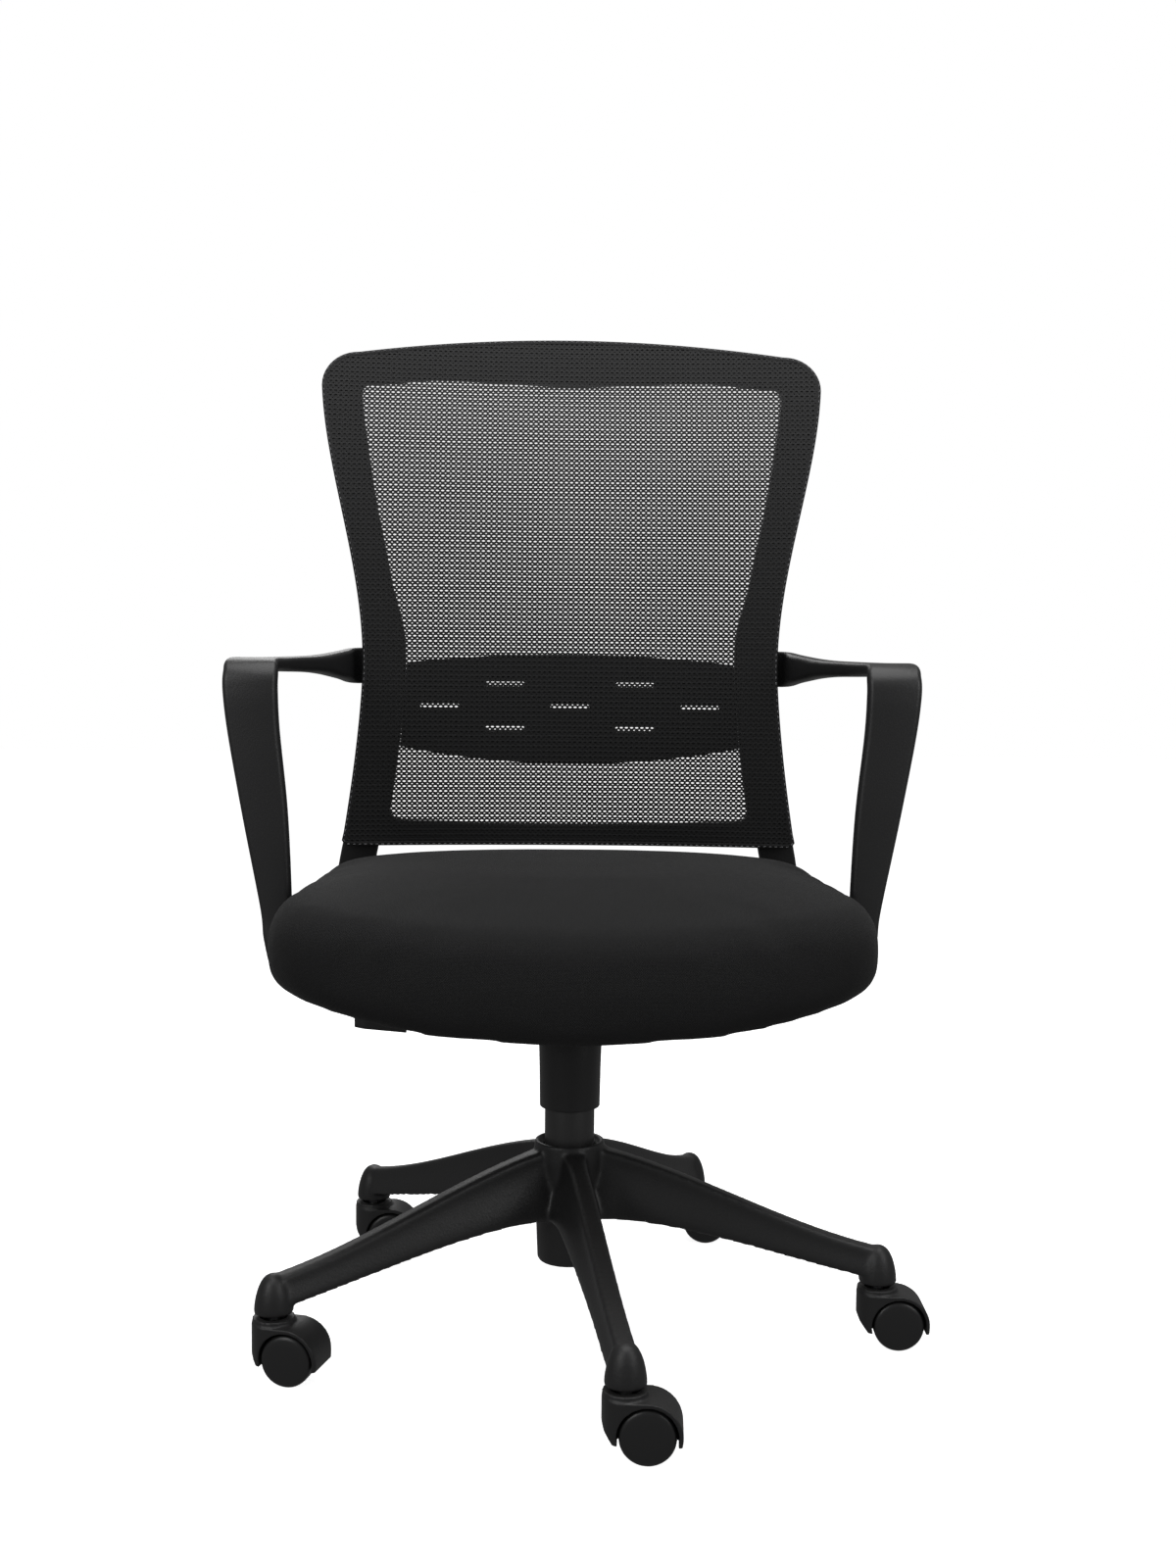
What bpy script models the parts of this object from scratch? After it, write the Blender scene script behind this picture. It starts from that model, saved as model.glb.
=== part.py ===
"""Mid-back mesh office chair on a five-star base, built as separate parts on real joints.

Metres, +Z up. The origin is on the floor, on the swivel axis, and the seat faces -Y.
"""

import math

import bmesh
import bpy
from mathutils import Matrix, Vector

# Fits
GAP = 0.0003
RUN = 0.0006

# Casters, which all share one set of sizes
WHEEL_RADIUS = 0.0250
WHEEL_WIDTH = 0.0175
WHEEL_EDGE = 0.0018
CASTER_TRAIL = 0.0195
WEB_THICKNESS = 0.0080
AXLE_RADIUS = 0.0040
HOOD_WALL = 0.0040
HOOD_CLEARANCE = 0.0015
COLLAR_RADIUS = 0.0200
COLLAR_RECESS = 0.0060
STEM_RADIUS = 0.0055
STEM_DEPTH_IN_LEG = 0.0240
STEM_DEPTH_IN_HOOD = 0.0100

# Star base
BASE_RADIUS = 0.3100
LEG_COUNT = 5
FRONT_LEG_TURN = math.radians(8.2)
DOME_RADIUS = 0.0188
DOME_HEIGHT = 0.0375
CASTER_GAP = 0.0037
HUB_HEIGHT = 0.1255
HUB_TOP_WALL = 0.0100
HUB_BOTTOM_WALL = 0.0050
HUB_LEDGE = 0.0055
HUB_RISE = 0.0050
LEG_TOP_HALF = 0.0095
LEG_ROOT_HALF = 0.0210
LEG_TIP_HALF = 0.0150
LEG_ROOT_DROP = 0.0075
LEG_ROOT_HEIGHT = 0.0690
LEG_TIP_DROP = 0.0060
LEG_WALL = 0.0035
LEG_CELLS = 2

# Column
TUBE_RADIUS = 0.0250
TUBE_WALL = 0.0025
TUBE_LENGTH = 0.1760
TUBE_FLOOR = 0.0050
ROD_RADIUS = 0.0050
CYLINDER_RADIUS = 0.0140
CYLINDER_WALL = 0.0020
SOCKET_DEPTH = 0.0380
GUIDE_LENGTH = 0.0450
COVER_TAPER = 0.0016
COVER_WALL = 0.0020
COVER_CLEARANCE = 0.0032
LIFT_DOWN = 0.0300
LIFT_UP = 0.0700
COVER_REST_GAP = 0.0030
CYLINDER_REST_GAP = 0.0110

# Tilt mechanism
PLATE_RISE = 0.0350
PLATE_THICKNESS = 0.0030
PLATE_WIDTH = 0.2000
PLATE_FRONT = -0.1350
PLATE_REAR = 0.0850
HOUSING_HALF = 0.0430
HOUSING_WALL = 0.0025
HOUSING_FRONT = -0.1280
HOUSING_REAR = 0.0360
PIN_RADIUS = 0.0060
PIN_Y = -0.0850
PIN_BELOW_PLATE = 0.0230
LEVER_RADIUS = 0.0035
PADDLE_INNER = 0.1630
PADDLE_OUTER = 0.2150
BOLT_RADIUS = 0.0030
BOLT_HEAD_RADIUS = 0.0060
BOLT_HEAD = 0.0040

# Seat
SHELL_THICKNESS = 0.0030
BOARD_THICKNESS = 0.0120
SEAT_HALF_WIDTH = 0.2810
SEAT_REAR_NARROWING = 0.0200
SEAT_TAPER_START = 0.1500
SEAT_FRONT = -0.2520
SEAT_REAR = 0.2020
SEAT_BOARD_INSET = 0.0240
CUSHION_HEIGHT = 0.1045
CUSHION_CROWN = 0.0140
CUSHION_FRONT_DROP = 0.0270
SEAT_CORNER = 4.4
SEAT_BOW = 0.0220

# Back
BACK_BOTTOM_RISE = 0.1085
BACK_HEIGHT = 0.5660
BACK_HALF_BOTTOM = 0.2500
BACK_HALF_WAIST = 0.2262
BACK_HALF_TOP = 0.2765
BACK_WAIST_SHARE = 0.3500
BACK_CORNER = 0.0380
BACK_CROWN = 0.0200
BACK_DEPTH_AT_WAIST = 0.2100
BACK_RECLINE = 0.6400
BACK_LUMBAR_RISE = 0.3300
BACK_DISH = 0.3500
BACK_THICKNESS = 0.0180
RAIL_TOP = 0.0500
RAIL_BOTTOM = 0.0290
RAIL_SIDE = 0.0420
RAIL_SIDE_SWELL = 0.0040
LUMBAR_LOW = 0.0910
LUMBAR_HIGH = 0.2120
LUMBAR_BOW = 0.0190
LUMBAR_THICKNESS = 0.0035
LUMBAR_GAP = 0.0016
SLOT_LENGTH = 0.0430
SLOT_HEIGHT = 0.0050
SLOT_PITCH = 0.0715
SLOT_ROW = 0.0245
MESH_THICKNESS = 0.0012
MESH_INSET = 0.0040
MESH_CLEARANCE = 0.0008
BACK_LEG_WIDTH = 0.0400
BACK_LEG_X = 0.2310
FOOT_THICKNESS = 0.0100

# Arms
ARM_HALF_SPAN = 0.3435
ARM_HEIGHT = 0.6730
ARM_TOP_WIDTH = 0.0530
ARM_LOW_WIDTH = 0.0300
ARM_FRONT = -0.0200
ARM_PAD_THICKNESS = 0.0140
ARM_POST_THICKNESS = 0.0190
ARM_BAR_WIDTH = 0.0240
ARM_BAR_HEIGHT = 0.0390
ARM_SEAT_CLEARANCE = 0.0035
TONGUE_GAP = 0.0022
PAD_SKIM = 0.0008
PAD_FLAT_REAR = 0.0850
ARM_FOOT_LENGTH = 0.0600
ARM_FOOT_INNER = 0.2300

# Radii that follow from the column's tube
HUB_TOP_RADIUS = TUBE_RADIUS + HUB_TOP_WALL
HUB_BOTTOM_RADIUS = TUBE_RADIUS + HUB_BOTTOM_WALL
COVER_RADIUS = TUBE_RADIUS + COVER_CLEARANCE + COVER_WALL + COVER_TAPER

# Heights that follow from the sizes above
HOOD_RADIUS = WHEEL_RADIUS + HOOD_CLEARANCE + HOOD_WALL
HOOD_HALF_WIDTH = WEB_THICKNESS / 2 + GAP + WHEEL_WIDTH + 0.0002
COLLAR_TOP = WHEEL_RADIUS + HOOD_RADIUS + 0.0045
DOME_BOTTOM = COLLAR_TOP + CASTER_GAP
HUB_BOTTOM = DOME_BOTTOM + HUB_RISE
HUB_TOP = HUB_BOTTOM + HUB_HEIGHT
TUBE_BOTTOM = HUB_BOTTOM + HUB_LEDGE
TUBE_TOP = TUBE_BOTTOM + TUBE_LENGTH
SOCKET_BOTTOM = TUBE_TOP + LIFT_DOWN + 0.0040
SOCKET_TOP = SOCKET_BOTTOM + SOCKET_DEPTH
FLOOR_BOTTOM = SOCKET_BOTTOM + 0.0110
COVER_BOTTOM = HUB_TOP + LIFT_DOWN + COVER_REST_GAP
PLATE_BOTTOM = SOCKET_TOP + PLATE_RISE
PLATE_TOP = PLATE_BOTTOM + PLATE_THICKNESS
PIN_Z = PLATE_BOTTOM - PIN_BELOW_PLATE
SHELL_BOTTOM = PLATE_TOP + GAP
SHELL_TOP = SHELL_BOTTOM + SHELL_THICKNESS
BOARD_BOTTOM = SHELL_TOP + GAP
BOARD_TOP = BOARD_BOTTOM + BOARD_THICKNESS
CUSHION_BOTTOM = BOARD_TOP - 0.0030
BACK_BOTTOM = PLATE_BOTTOM + BACK_BOTTOM_RISE
LEVER_Z = SOCKET_TOP + 0.0090
BOLT_TOP = BOARD_TOP - 0.0030

# Where the bolts stand, as (side, front or rear) places
PLATE_BOLT_X = 0.0800
PLATE_BOLT_ROWS = (PLATE_FRONT + 0.030, PLATE_REAR - 0.025)
PLATE_BOLTS = [(side * PLATE_BOLT_X, y) for side in (-1, 1) for y in PLATE_BOLT_ROWS]
ARM_BOLT_X = ARM_FOOT_INNER + 0.018
ARM_BOLT_ROWS = (ARM_FRONT - 0.004, ARM_FRONT + 0.032)
ARM_BOLTS = [(side * ARM_BOLT_X, y) for side in (-1, 1) for y in ARM_BOLT_ROWS]
BACK_FOOT_FRONT = 0.0850
BACK_BOLTS = [(side * BACK_LEG_X, BACK_FOOT_FRONT + 0.020) for side in (-1, 1)]


def clear_scene():
    for obj in list(bpy.data.objects):
        bpy.data.objects.remove(obj, do_unlink=True)


def material(name, colour, roughness, metallic=0.0):
    made = bpy.data.materials.new(name)
    made.use_nodes = True
    shader = made.node_tree.nodes["Principled BSDF"]
    shader.inputs["Base Color"].default_value = (*colour, 1.0)
    shader.inputs["Roughness"].default_value = roughness
    shader.inputs["Metallic"].default_value = metallic
    made.diffuse_color = (*colour, 1.0)
    return made


def pivot(name, place=(0.0, 0.0, 0.0), turn=0.0, parent=None):
    """An empty on a joint's axis. The parts that move together hang from it."""
    empty = bpy.data.objects.new(name, None)
    empty.location = Vector(place) - (parent.matrix_world.translation if parent else Vector())
    empty.rotation_euler = (0.0, 0.0, turn)
    empty.parent = parent
    bpy.context.scene.collection.objects.link(empty)
    bpy.context.view_layer.update()
    return empty


def finish_mesh(name, bm):
    bmesh.ops.recalc_face_normals(bm, faces=bm.faces)
    if bm.calc_volume(signed=True) < 0:
        bmesh.ops.reverse_faces(bm, faces=bm.faces)
    mesh = bpy.data.meshes.new(name)
    bm.to_mesh(mesh)
    bm.free()
    mesh.shade_smooth()
    mesh.set_sharp_from_angle(angle=math.radians(32))
    return mesh


def add_part(name, shape, mat, parent=None, local=False):
    """Links a part. A shape in world space is moved into its parent's space unless it is local."""
    mesh = shape if isinstance(shape, bpy.types.Mesh) else finish_mesh(name, shape)
    if parent and not local:
        mesh.transform(parent.matrix_world.inverted())
    if not mesh.materials:
        mesh.materials.append(mat)
    part = bpy.data.objects.new(name, mesh)
    part.parent = parent
    bpy.context.scene.collection.objects.link(part)
    return part


def tool(name, shape, parent=None):
    """A hidden shape that a Boolean uses."""
    helper = bpy.data.objects.new(name, finish_mesh(name, shape))
    helper.parent = parent
    helper.hide_render = True
    helper.display_type = "WIRE"
    bpy.context.scene.collection.objects.link(helper)
    return helper


def combine(part, operation, helpers):
    for helper in helpers:
        change = part.modifiers.new(helper.name, "BOOLEAN")
        change.operation = operation
        change.solver = "EXACT"
        change.object = helper


def loft(rings):
    """A closed solid through rings of points, with a flat cap at each end."""
    bm = bmesh.new()
    rows = [[bm.verts.new(point) for point in ring] for ring in rings]
    for low, high in zip(rows, rows[1:]):
        for i in range(len(low)):
            j = (i + 1) % len(low)
            bm.faces.new((low[i], low[j], high[j], high[i]))
    bm.faces.new(rows[0][::-1])
    bm.faces.new(rows[-1])
    return bm


def turned(profile, sides, centre=(0.0, 0.0), bm=None):
    """A solid turned about an upright axis, from (radius, height) points.

    A profile that starts and ends on the axis is solid, and any other is closed into a ring.
    """
    bm = bm or bmesh.new()
    rows = []
    for radius, height in profile:
        count = sides if radius > 1e-9 else 1
        turns = [2 * math.pi * i / sides for i in range(count)]
        rows.append(
            [
                bm.verts.new((centre[0] + radius * math.cos(a), centre[1] + radius * math.sin(a), height))
                for a in turns
            ]
        )
    pairs = list(zip(rows, rows[1:]))
    if len(rows[0]) > 1:
        pairs.append((rows[-1], rows[0]))
    for low, high in pairs:
        for i in range(sides):
            j = (i + 1) % sides
            corners = [low[i % len(low)], low[j % len(low)], high[j % len(high)], high[i % len(high)]]
            bm.faces.new(list(dict.fromkeys(corners)))
    return bm


def prism(outline, start, end, axis="Z", bm=None):
    """An outline of 2-D points carried along an axis. On X the points are (y, z), on Y (x, z)."""
    bm = bm or bmesh.new()
    place = {
        "X": lambda p, d: (d, p[0], p[1]),
        "Y": lambda p, d: (p[0], d, p[1]),
        "Z": lambda p, d: (p[0], p[1], d),
    }[axis]
    rows = [[bm.verts.new(place(point, depth)) for point in outline] for depth in (start, end)]
    for i in range(len(outline)):
        j = (i + 1) % len(outline)
        bm.faces.new((rows[0][i], rows[0][j], rows[1][j], rows[1][i]))
    bm.faces.new(rows[0][::-1])
    bm.faces.new(rows[1])
    return bm


def rectangle(x0, x1, y0, y1):
    return [(x0, y0), (x1, y0), (x1, y1), (x0, y1)]


def arc(centre, radius, start, end, steps):
    """Points on an arc, from start to end in degrees."""
    turns = [math.radians(start + (end - start) * i / steps) for i in range(steps + 1)]
    return [(centre[0] + radius * math.cos(a), centre[1] + radius * math.sin(a)) for a in turns]


def circle(centre, radius, sides):
    return arc(centre, radius, 0, 360, sides)[:-1]


def blend(low, high, share):
    return low + (high - low) * share


def ease(share):
    share = min(max(share, 0.0), 1.0)
    return share * share * (3 - 2 * share)


def bezier(points, share):
    """A point on the cubic curve through four control points."""
    a, b, c, d = (Vector(point) for point in points)
    rest = 1 - share
    return a * rest**3 + b * 3 * rest**2 * share + c * 3 * rest * share**2 + d * share**3


# Star base -------------------------------------------------------------------------------


def leg_top(radius):
    """Height of a leg's ridge: a long S from the hub to the caster's dome."""
    root = HUB_TOP - LEG_ROOT_DROP
    tip = DOME_BOTTOM + DOME_HEIGHT - 0.0025
    share = (radius - HUB_BOTTOM_RADIUS) / (BASE_RADIUS - HUB_BOTTOM_RADIUS)
    return bezier([(root, 0), (root - 0.019, 0), (tip + 0.017, 0), (tip, 0)], share).x


def leg_bottom(radius):
    root = HUB_TOP - LEG_ROOT_DROP - LEG_ROOT_HEIGHT
    tip = DOME_BOTTOM + LEG_TIP_DROP
    share = (radius - HUB_BOTTOM_RADIUS) / (BASE_RADIUS - HUB_BOTTOM_RADIUS)
    return bezier([(root, 0), (root + 0.002, 0), (tip + 0.015, 0), (tip, 0)], share).x


def leg_half_width(radius):
    share = (radius - HUB_BOTTOM_RADIUS) / (BASE_RADIUS - HUB_BOTTOM_RADIUS)
    return blend(LEG_ROOT_HALF, LEG_TIP_HALF, ease(share * 1.2))


def leg_section(radius):
    """A leg's section: a narrow ridge with rounded edges over sides that flare to the bottom."""
    top, bottom, half = leg_top(radius), leg_bottom(radius), leg_half_width(radius)
    tall = top - bottom
    side = [
        (half, bottom),
        (half, bottom + 0.28 * tall),
        (blend(LEG_TOP_HALF, half, 0.35), bottom + 0.70 * tall),
        (LEG_TOP_HALF, top - 0.0030),
        (LEG_TOP_HALF - 0.0030, top),
    ]
    return side + [(-y, z) for y, z in side[::-1]]


def cell_section(radius):
    """The section of the hollow under a leg."""
    top, bottom, half = leg_top(radius), leg_bottom(radius), leg_half_width(radius)
    low, high = half - LEG_WALL, LEG_TOP_HALF - LEG_WALL
    below = bottom - 0.004
    return [(low, below), (high, top - LEG_WALL), (-high, top - LEG_WALL), (-low, below)]


def along_leg(turn, sections):
    """Sections at their radii, turned to a leg's direction."""
    spin = Matrix.Rotation(turn, 3, "Z")
    return [[spin @ Vector((y, -radius, z)) for y, z in points] for radius, points in sections]


def leg_turns():
    return [FRONT_LEG_TURN + 2 * math.pi * i / LEG_COUNT for i in range(LEG_COUNT)]


def tip_of(turn):
    return (BASE_RADIUS * math.sin(turn), -BASE_RADIUS * math.cos(turn))


def star_base(mat):
    hub = turned(
        [
            (TUBE_RADIUS + GAP, HUB_TOP - 0.007),
            (HUB_TOP_RADIUS - 0.005, HUB_TOP - 0.006),
            (HUB_TOP_RADIUS - 0.004, HUB_TOP - 0.001),
            (HUB_TOP_RADIUS - 0.002, HUB_TOP),
            (HUB_TOP_RADIUS, HUB_TOP - 0.002),
            (HUB_TOP_RADIUS + 0.001, HUB_TOP - 0.020),
            (HUB_BOTTOM_RADIUS + 0.0035, HUB_BOTTOM + 0.050),
            (HUB_BOTTOM_RADIUS + 0.0015, HUB_BOTTOM + 0.003),
            (HUB_BOTTOM_RADIUS - 0.001, HUB_BOTTOM),
            (TUBE_RADIUS - 0.005, HUB_BOTTOM),
            (TUBE_RADIUS - 0.005, TUBE_BOTTOM - GAP),
            (TUBE_RADIUS - 0.0012 + GAP, TUBE_BOTTOM - GAP),
        ],
        32,
    )
    base = add_part("star_base", hub, mat)
    solids = []
    cuts = []
    stations = [HUB_BOTTOM_RADIUS - 0.001 + (BASE_RADIUS - HUB_BOTTOM_RADIUS) * i / 9 for i in range(10)]
    first, last = HUB_TOP_RADIUS + 0.010, BASE_RADIUS - DOME_RADIUS - 0.008
    cell = (last - first + LEG_WALL) / LEG_CELLS
    for number, turn in enumerate(leg_turns(), 1):
        leg = loft(along_leg(turn, [(radius, leg_section(radius)) for radius in stations]))
        solids.append(tool(f"leg_{number}_solid", leg))
        x, y = tip_of(turn)
        round_top = [
            (DOME_RADIUS * math.cos(a), DOME_BOTTOM + DOME_HEIGHT - DOME_RADIUS * (1 - math.sin(a)))
            for a in (math.radians(degrees) for degrees in (0, 35, 65))
        ]
        dome = turned(
            [(0.0, DOME_BOTTOM + DOME_HEIGHT)]
            + round_top[::-1]
            + [(DOME_RADIUS, DOME_BOTTOM + 0.001), (DOME_RADIUS - 0.001, DOME_BOTTOM), (0.0, DOME_BOTTOM)],
            20,
            (x, y),
        )
        solids.append(tool(f"dome_{number}_solid", dome))
        socket = turned(
            [
                (0.0, DOME_BOTTOM + STEM_DEPTH_IN_LEG + GAP),
                (STEM_RADIUS + GAP, DOME_BOTTOM + STEM_DEPTH_IN_LEG + GAP),
                (STEM_RADIUS + GAP, DOME_BOTTOM - 0.002),
                (0.0, DOME_BOTTOM - 0.002),
            ],
            12,
            (x, y),
        )
        cuts.append(tool(f"socket_{number}_cut", socket))
        for place in range(LEG_CELLS):
            start = first + place * cell
            reach = [start + (cell - LEG_WALL) * i / 4 for i in range(5)]
            hollow = loft(along_leg(turn, [(radius, cell_section(radius)) for radius in reach]))
            cuts.append(tool(f"cell_{number}_{place}_cut", hollow))
    taper = turned(
        [
            (0.0, HUB_TOP - 0.0065),
            (TUBE_RADIUS + GAP, HUB_TOP - 0.0065),
            (TUBE_RADIUS - 0.0012 + GAP, TUBE_BOTTOM - GAP + 0.0001),
            (0.0, TUBE_BOTTOM - GAP + 0.0001),
        ],
        32,
    )
    combine(base, "UNION", solids)
    combine(base, "DIFFERENCE", cuts + [tool("column_taper_cut", taper)])
    return base


# Casters, modelled with the swivel axis at the origin and the wheels trailing along +X ------


def hood_shape():
    """The side outline of the hood, carried across both wheels."""
    axle = (CASTER_TRAIL, WHEEL_RADIUS)
    outer = arc(axle, HOOD_RADIUS, -14, 92, 8)
    front = [
        (CASTER_TRAIL - COLLAR_RADIUS, COLLAR_TOP - 0.0045),
        (-COLLAR_RADIUS - 0.001, COLLAR_TOP - 0.0045),
        (-COLLAR_RADIUS - 0.001, WHEEL_RADIUS + 0.010),
        (-COLLAR_RADIUS + 0.002, WHEEL_RADIUS + 0.002),
        (-COLLAR_RADIUS + 0.009, WHEEL_RADIUS - 0.007),
    ]
    inside = WHEEL_RADIUS - 0.0010
    ends = [
        (axle[0] + inside * math.cos(a), axle[1] + inside * math.sin(a))
        for a in (math.radians(200), math.radians(-17))
    ]
    return prism(outer + front + ends, -HOOD_HALF_WIDTH, HOOD_HALF_WIDTH, "Y")


def hood_plan():
    """The plan of the hood: half an ellipse round the collar, then straight sides."""
    wide = HOOD_HALF_WIDTH
    far = CASTER_TRAIL + HOOD_RADIUS + 0.001
    reach = COLLAR_RADIUS + 0.0005
    turns = [math.radians(90 + 15 * i) for i in range(13)]
    nose = [(reach * math.cos(a), wide * math.sin(a)) for a in turns]
    tail = [(far - 0.004, -wide), (far, -wide + 0.004), (far, wide - 0.004), (far - 0.004, wide)]
    return prism(nose + tail, 0.0, COLLAR_TOP + 0.01)


def caster_hood(mat):
    hood = add_part("caster_1_hood", hood_shape(), mat)
    plan = tool("hood_plan", hood_plan())
    collar = turned(
        [
            (0.0, COLLAR_TOP - 0.009),
            (COLLAR_RADIUS, COLLAR_TOP - 0.009),
            (COLLAR_RADIUS, COLLAR_TOP - 0.001),
            (COLLAR_RADIUS - 0.001, COLLAR_TOP),
            (0.0, COLLAR_TOP),
        ],
        24,
    )
    floor = COLLAR_TOP - COLLAR_RECESS
    bore_floor = floor - STEM_DEPTH_IN_HOOD
    recess = turned(
        [
            (0.0, COLLAR_TOP + 0.002),
            (COLLAR_RADIUS - 0.003, COLLAR_TOP + 0.002),
            (COLLAR_RADIUS - 0.003, floor),
            (STEM_RADIUS + GAP, floor),
            (STEM_RADIUS + GAP, bore_floor),
            (0.0, bore_floor),
        ],
        16,
    )
    wells = []
    for name, near, far in (("a", 1, 2), ("b", -1, -2)):
        start, end = near * WEB_THICKNESS / 2, far * HOOD_HALF_WIDTH
        well = prism(circle((CASTER_TRAIL, WHEEL_RADIUS), WHEEL_RADIUS + HOOD_CLEARANCE, 28), start, end, "Y")
        wells.append(tool(f"wheel_well_{name}", well))
    bore = prism(circle((CASTER_TRAIL, WHEEL_RADIUS), AXLE_RADIUS + GAP, 12), -0.03, 0.03, "Y")
    combine(hood, "INTERSECT", [plan])
    combine(hood, "UNION", [tool("collar_ring", collar)])
    combine(hood, "DIFFERENCE", wells + [tool("collar_recess", recess), tool("axle_bore", bore)])
    return bake(hood)


def bake(part):
    """Turns a part's modifiers into its mesh, so that copies can share it."""
    graph = bpy.context.evaluated_depsgraph_get()
    mesh = bpy.data.meshes.new_from_object(part.evaluated_get(graph))
    mesh.name = part.name
    part.modifiers.clear()
    part.data = mesh
    return part


def hang_baked(part, parent):
    """Bakes a part that was shaped in world space and hangs it where it is from its parent."""
    bake(part)
    part.data.transform(parent.matrix_world.inverted())
    part.parent = parent


def wheel_mesh():
    """A smooth domed disc with a blind bore, turned about +Z with its inner face at 0."""
    dome = 0.0012
    profile = [
        (0.0, WHEEL_WIDTH - 0.0040),
        (AXLE_RADIUS + GAP, WHEEL_WIDTH - 0.0040),
        (AXLE_RADIUS + GAP, 0.0),
        (WHEEL_RADIUS - WHEEL_EDGE / 2, 0.0),
        (WHEEL_RADIUS, WHEEL_EDGE / 2),
        (WHEEL_RADIUS, WHEEL_WIDTH - dome - WHEEL_EDGE),
        (WHEEL_RADIUS - WHEEL_EDGE, WHEEL_WIDTH - dome),
        (0.0, WHEEL_WIDTH),
    ]
    return finish_mesh("wheel", turned(profile, 24))


def casters(nylon, tread, steel):
    stem_bottom = COLLAR_TOP - COLLAR_RECESS - STEM_DEPTH_IN_HOOD + GAP
    stem_top = DOME_BOTTOM + STEM_DEPTH_IN_LEG
    stem_mesh = finish_mesh(
        "stem",
        turned(
            [
                (0.0, stem_bottom),
                (STEM_RADIUS, stem_bottom),
                (STEM_RADIUS, stem_top - 0.001),
                (STEM_RADIUS - 0.001, stem_top),
                (0.0, stem_top),
            ],
            16,
        ),
    )
    axle_half = WEB_THICKNESS / 2 + GAP + WHEEL_WIDTH - 0.0040 - GAP
    axle_mesh = finish_mesh("axle", prism(circle((0.0, 0.0), AXLE_RADIUS, 12), -axle_half, axle_half, "Y"))
    wheel = wheel_mesh()
    hood_mesh = None
    # The wheels stand as they were last rolled, each trailing its own way
    trail_turns = [-3.6, -1.6, -6.6, 0.0, -15.6]
    for number, (turn, trail) in enumerate(zip(leg_turns(), trail_turns), 1):
        axis = pivot(f"caster_{number}_axis", (*tip_of(turn), 0.0), math.radians(trail))
        if hood_mesh is None:
            hood = caster_hood(nylon)
            hood.parent = axis
            hood_mesh = hood.data
        else:
            add_part(f"caster_{number}_hood", hood_mesh, nylon, axis, local=True)
        add_part(f"caster_{number}_stem", stem_mesh, steel, axis, local=True)
        axle = add_part(f"caster_{number}_axle", axle_mesh, steel, axis, local=True)
        axle.location = (CASTER_TRAIL, 0.0, WHEEL_RADIUS)
        for letter, side in (("a", 1), ("b", -1)):
            part = add_part(f"caster_{number}_wheel_{letter}", wheel, tread, axis, local=True)
            part.location = (CASTER_TRAIL, side * (WEB_THICKNESS / 2 + GAP), WHEEL_RADIUS)
            part.rotation_euler = (-side * math.pi / 2, 0.0, 0.0)


# Column ----------------------------------------------------------------------------------


def column_tube(mat):
    inner = TUBE_RADIUS - TUBE_WALL
    profile = [
        (ROD_RADIUS + 0.0010, TUBE_BOTTOM),
        (TUBE_RADIUS - 0.0012, TUBE_BOTTOM),
        (TUBE_RADIUS, HUB_TOP - 0.0065),
        (TUBE_RADIUS, TUBE_TOP - 0.001),
        (TUBE_RADIUS - 0.001, TUBE_TOP),
        (inner, TUBE_TOP),
        (inner, HUB_TOP - 0.0065),
        (inner - 0.0012, TUBE_BOTTOM + TUBE_FLOOR),
        (ROD_RADIUS + 0.0010, TUBE_BOTTOM + TUBE_FLOOR),
    ]
    return add_part("column_tube", turned(profile, 32), mat)


def ring(name, mat, inner, outer, bottom, top, sides, parent=None):
    profile = [(inner, bottom), (outer, bottom), (outer, top), (inner, top)]
    return add_part(name, turned(profile, sides), mat, parent)


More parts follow.
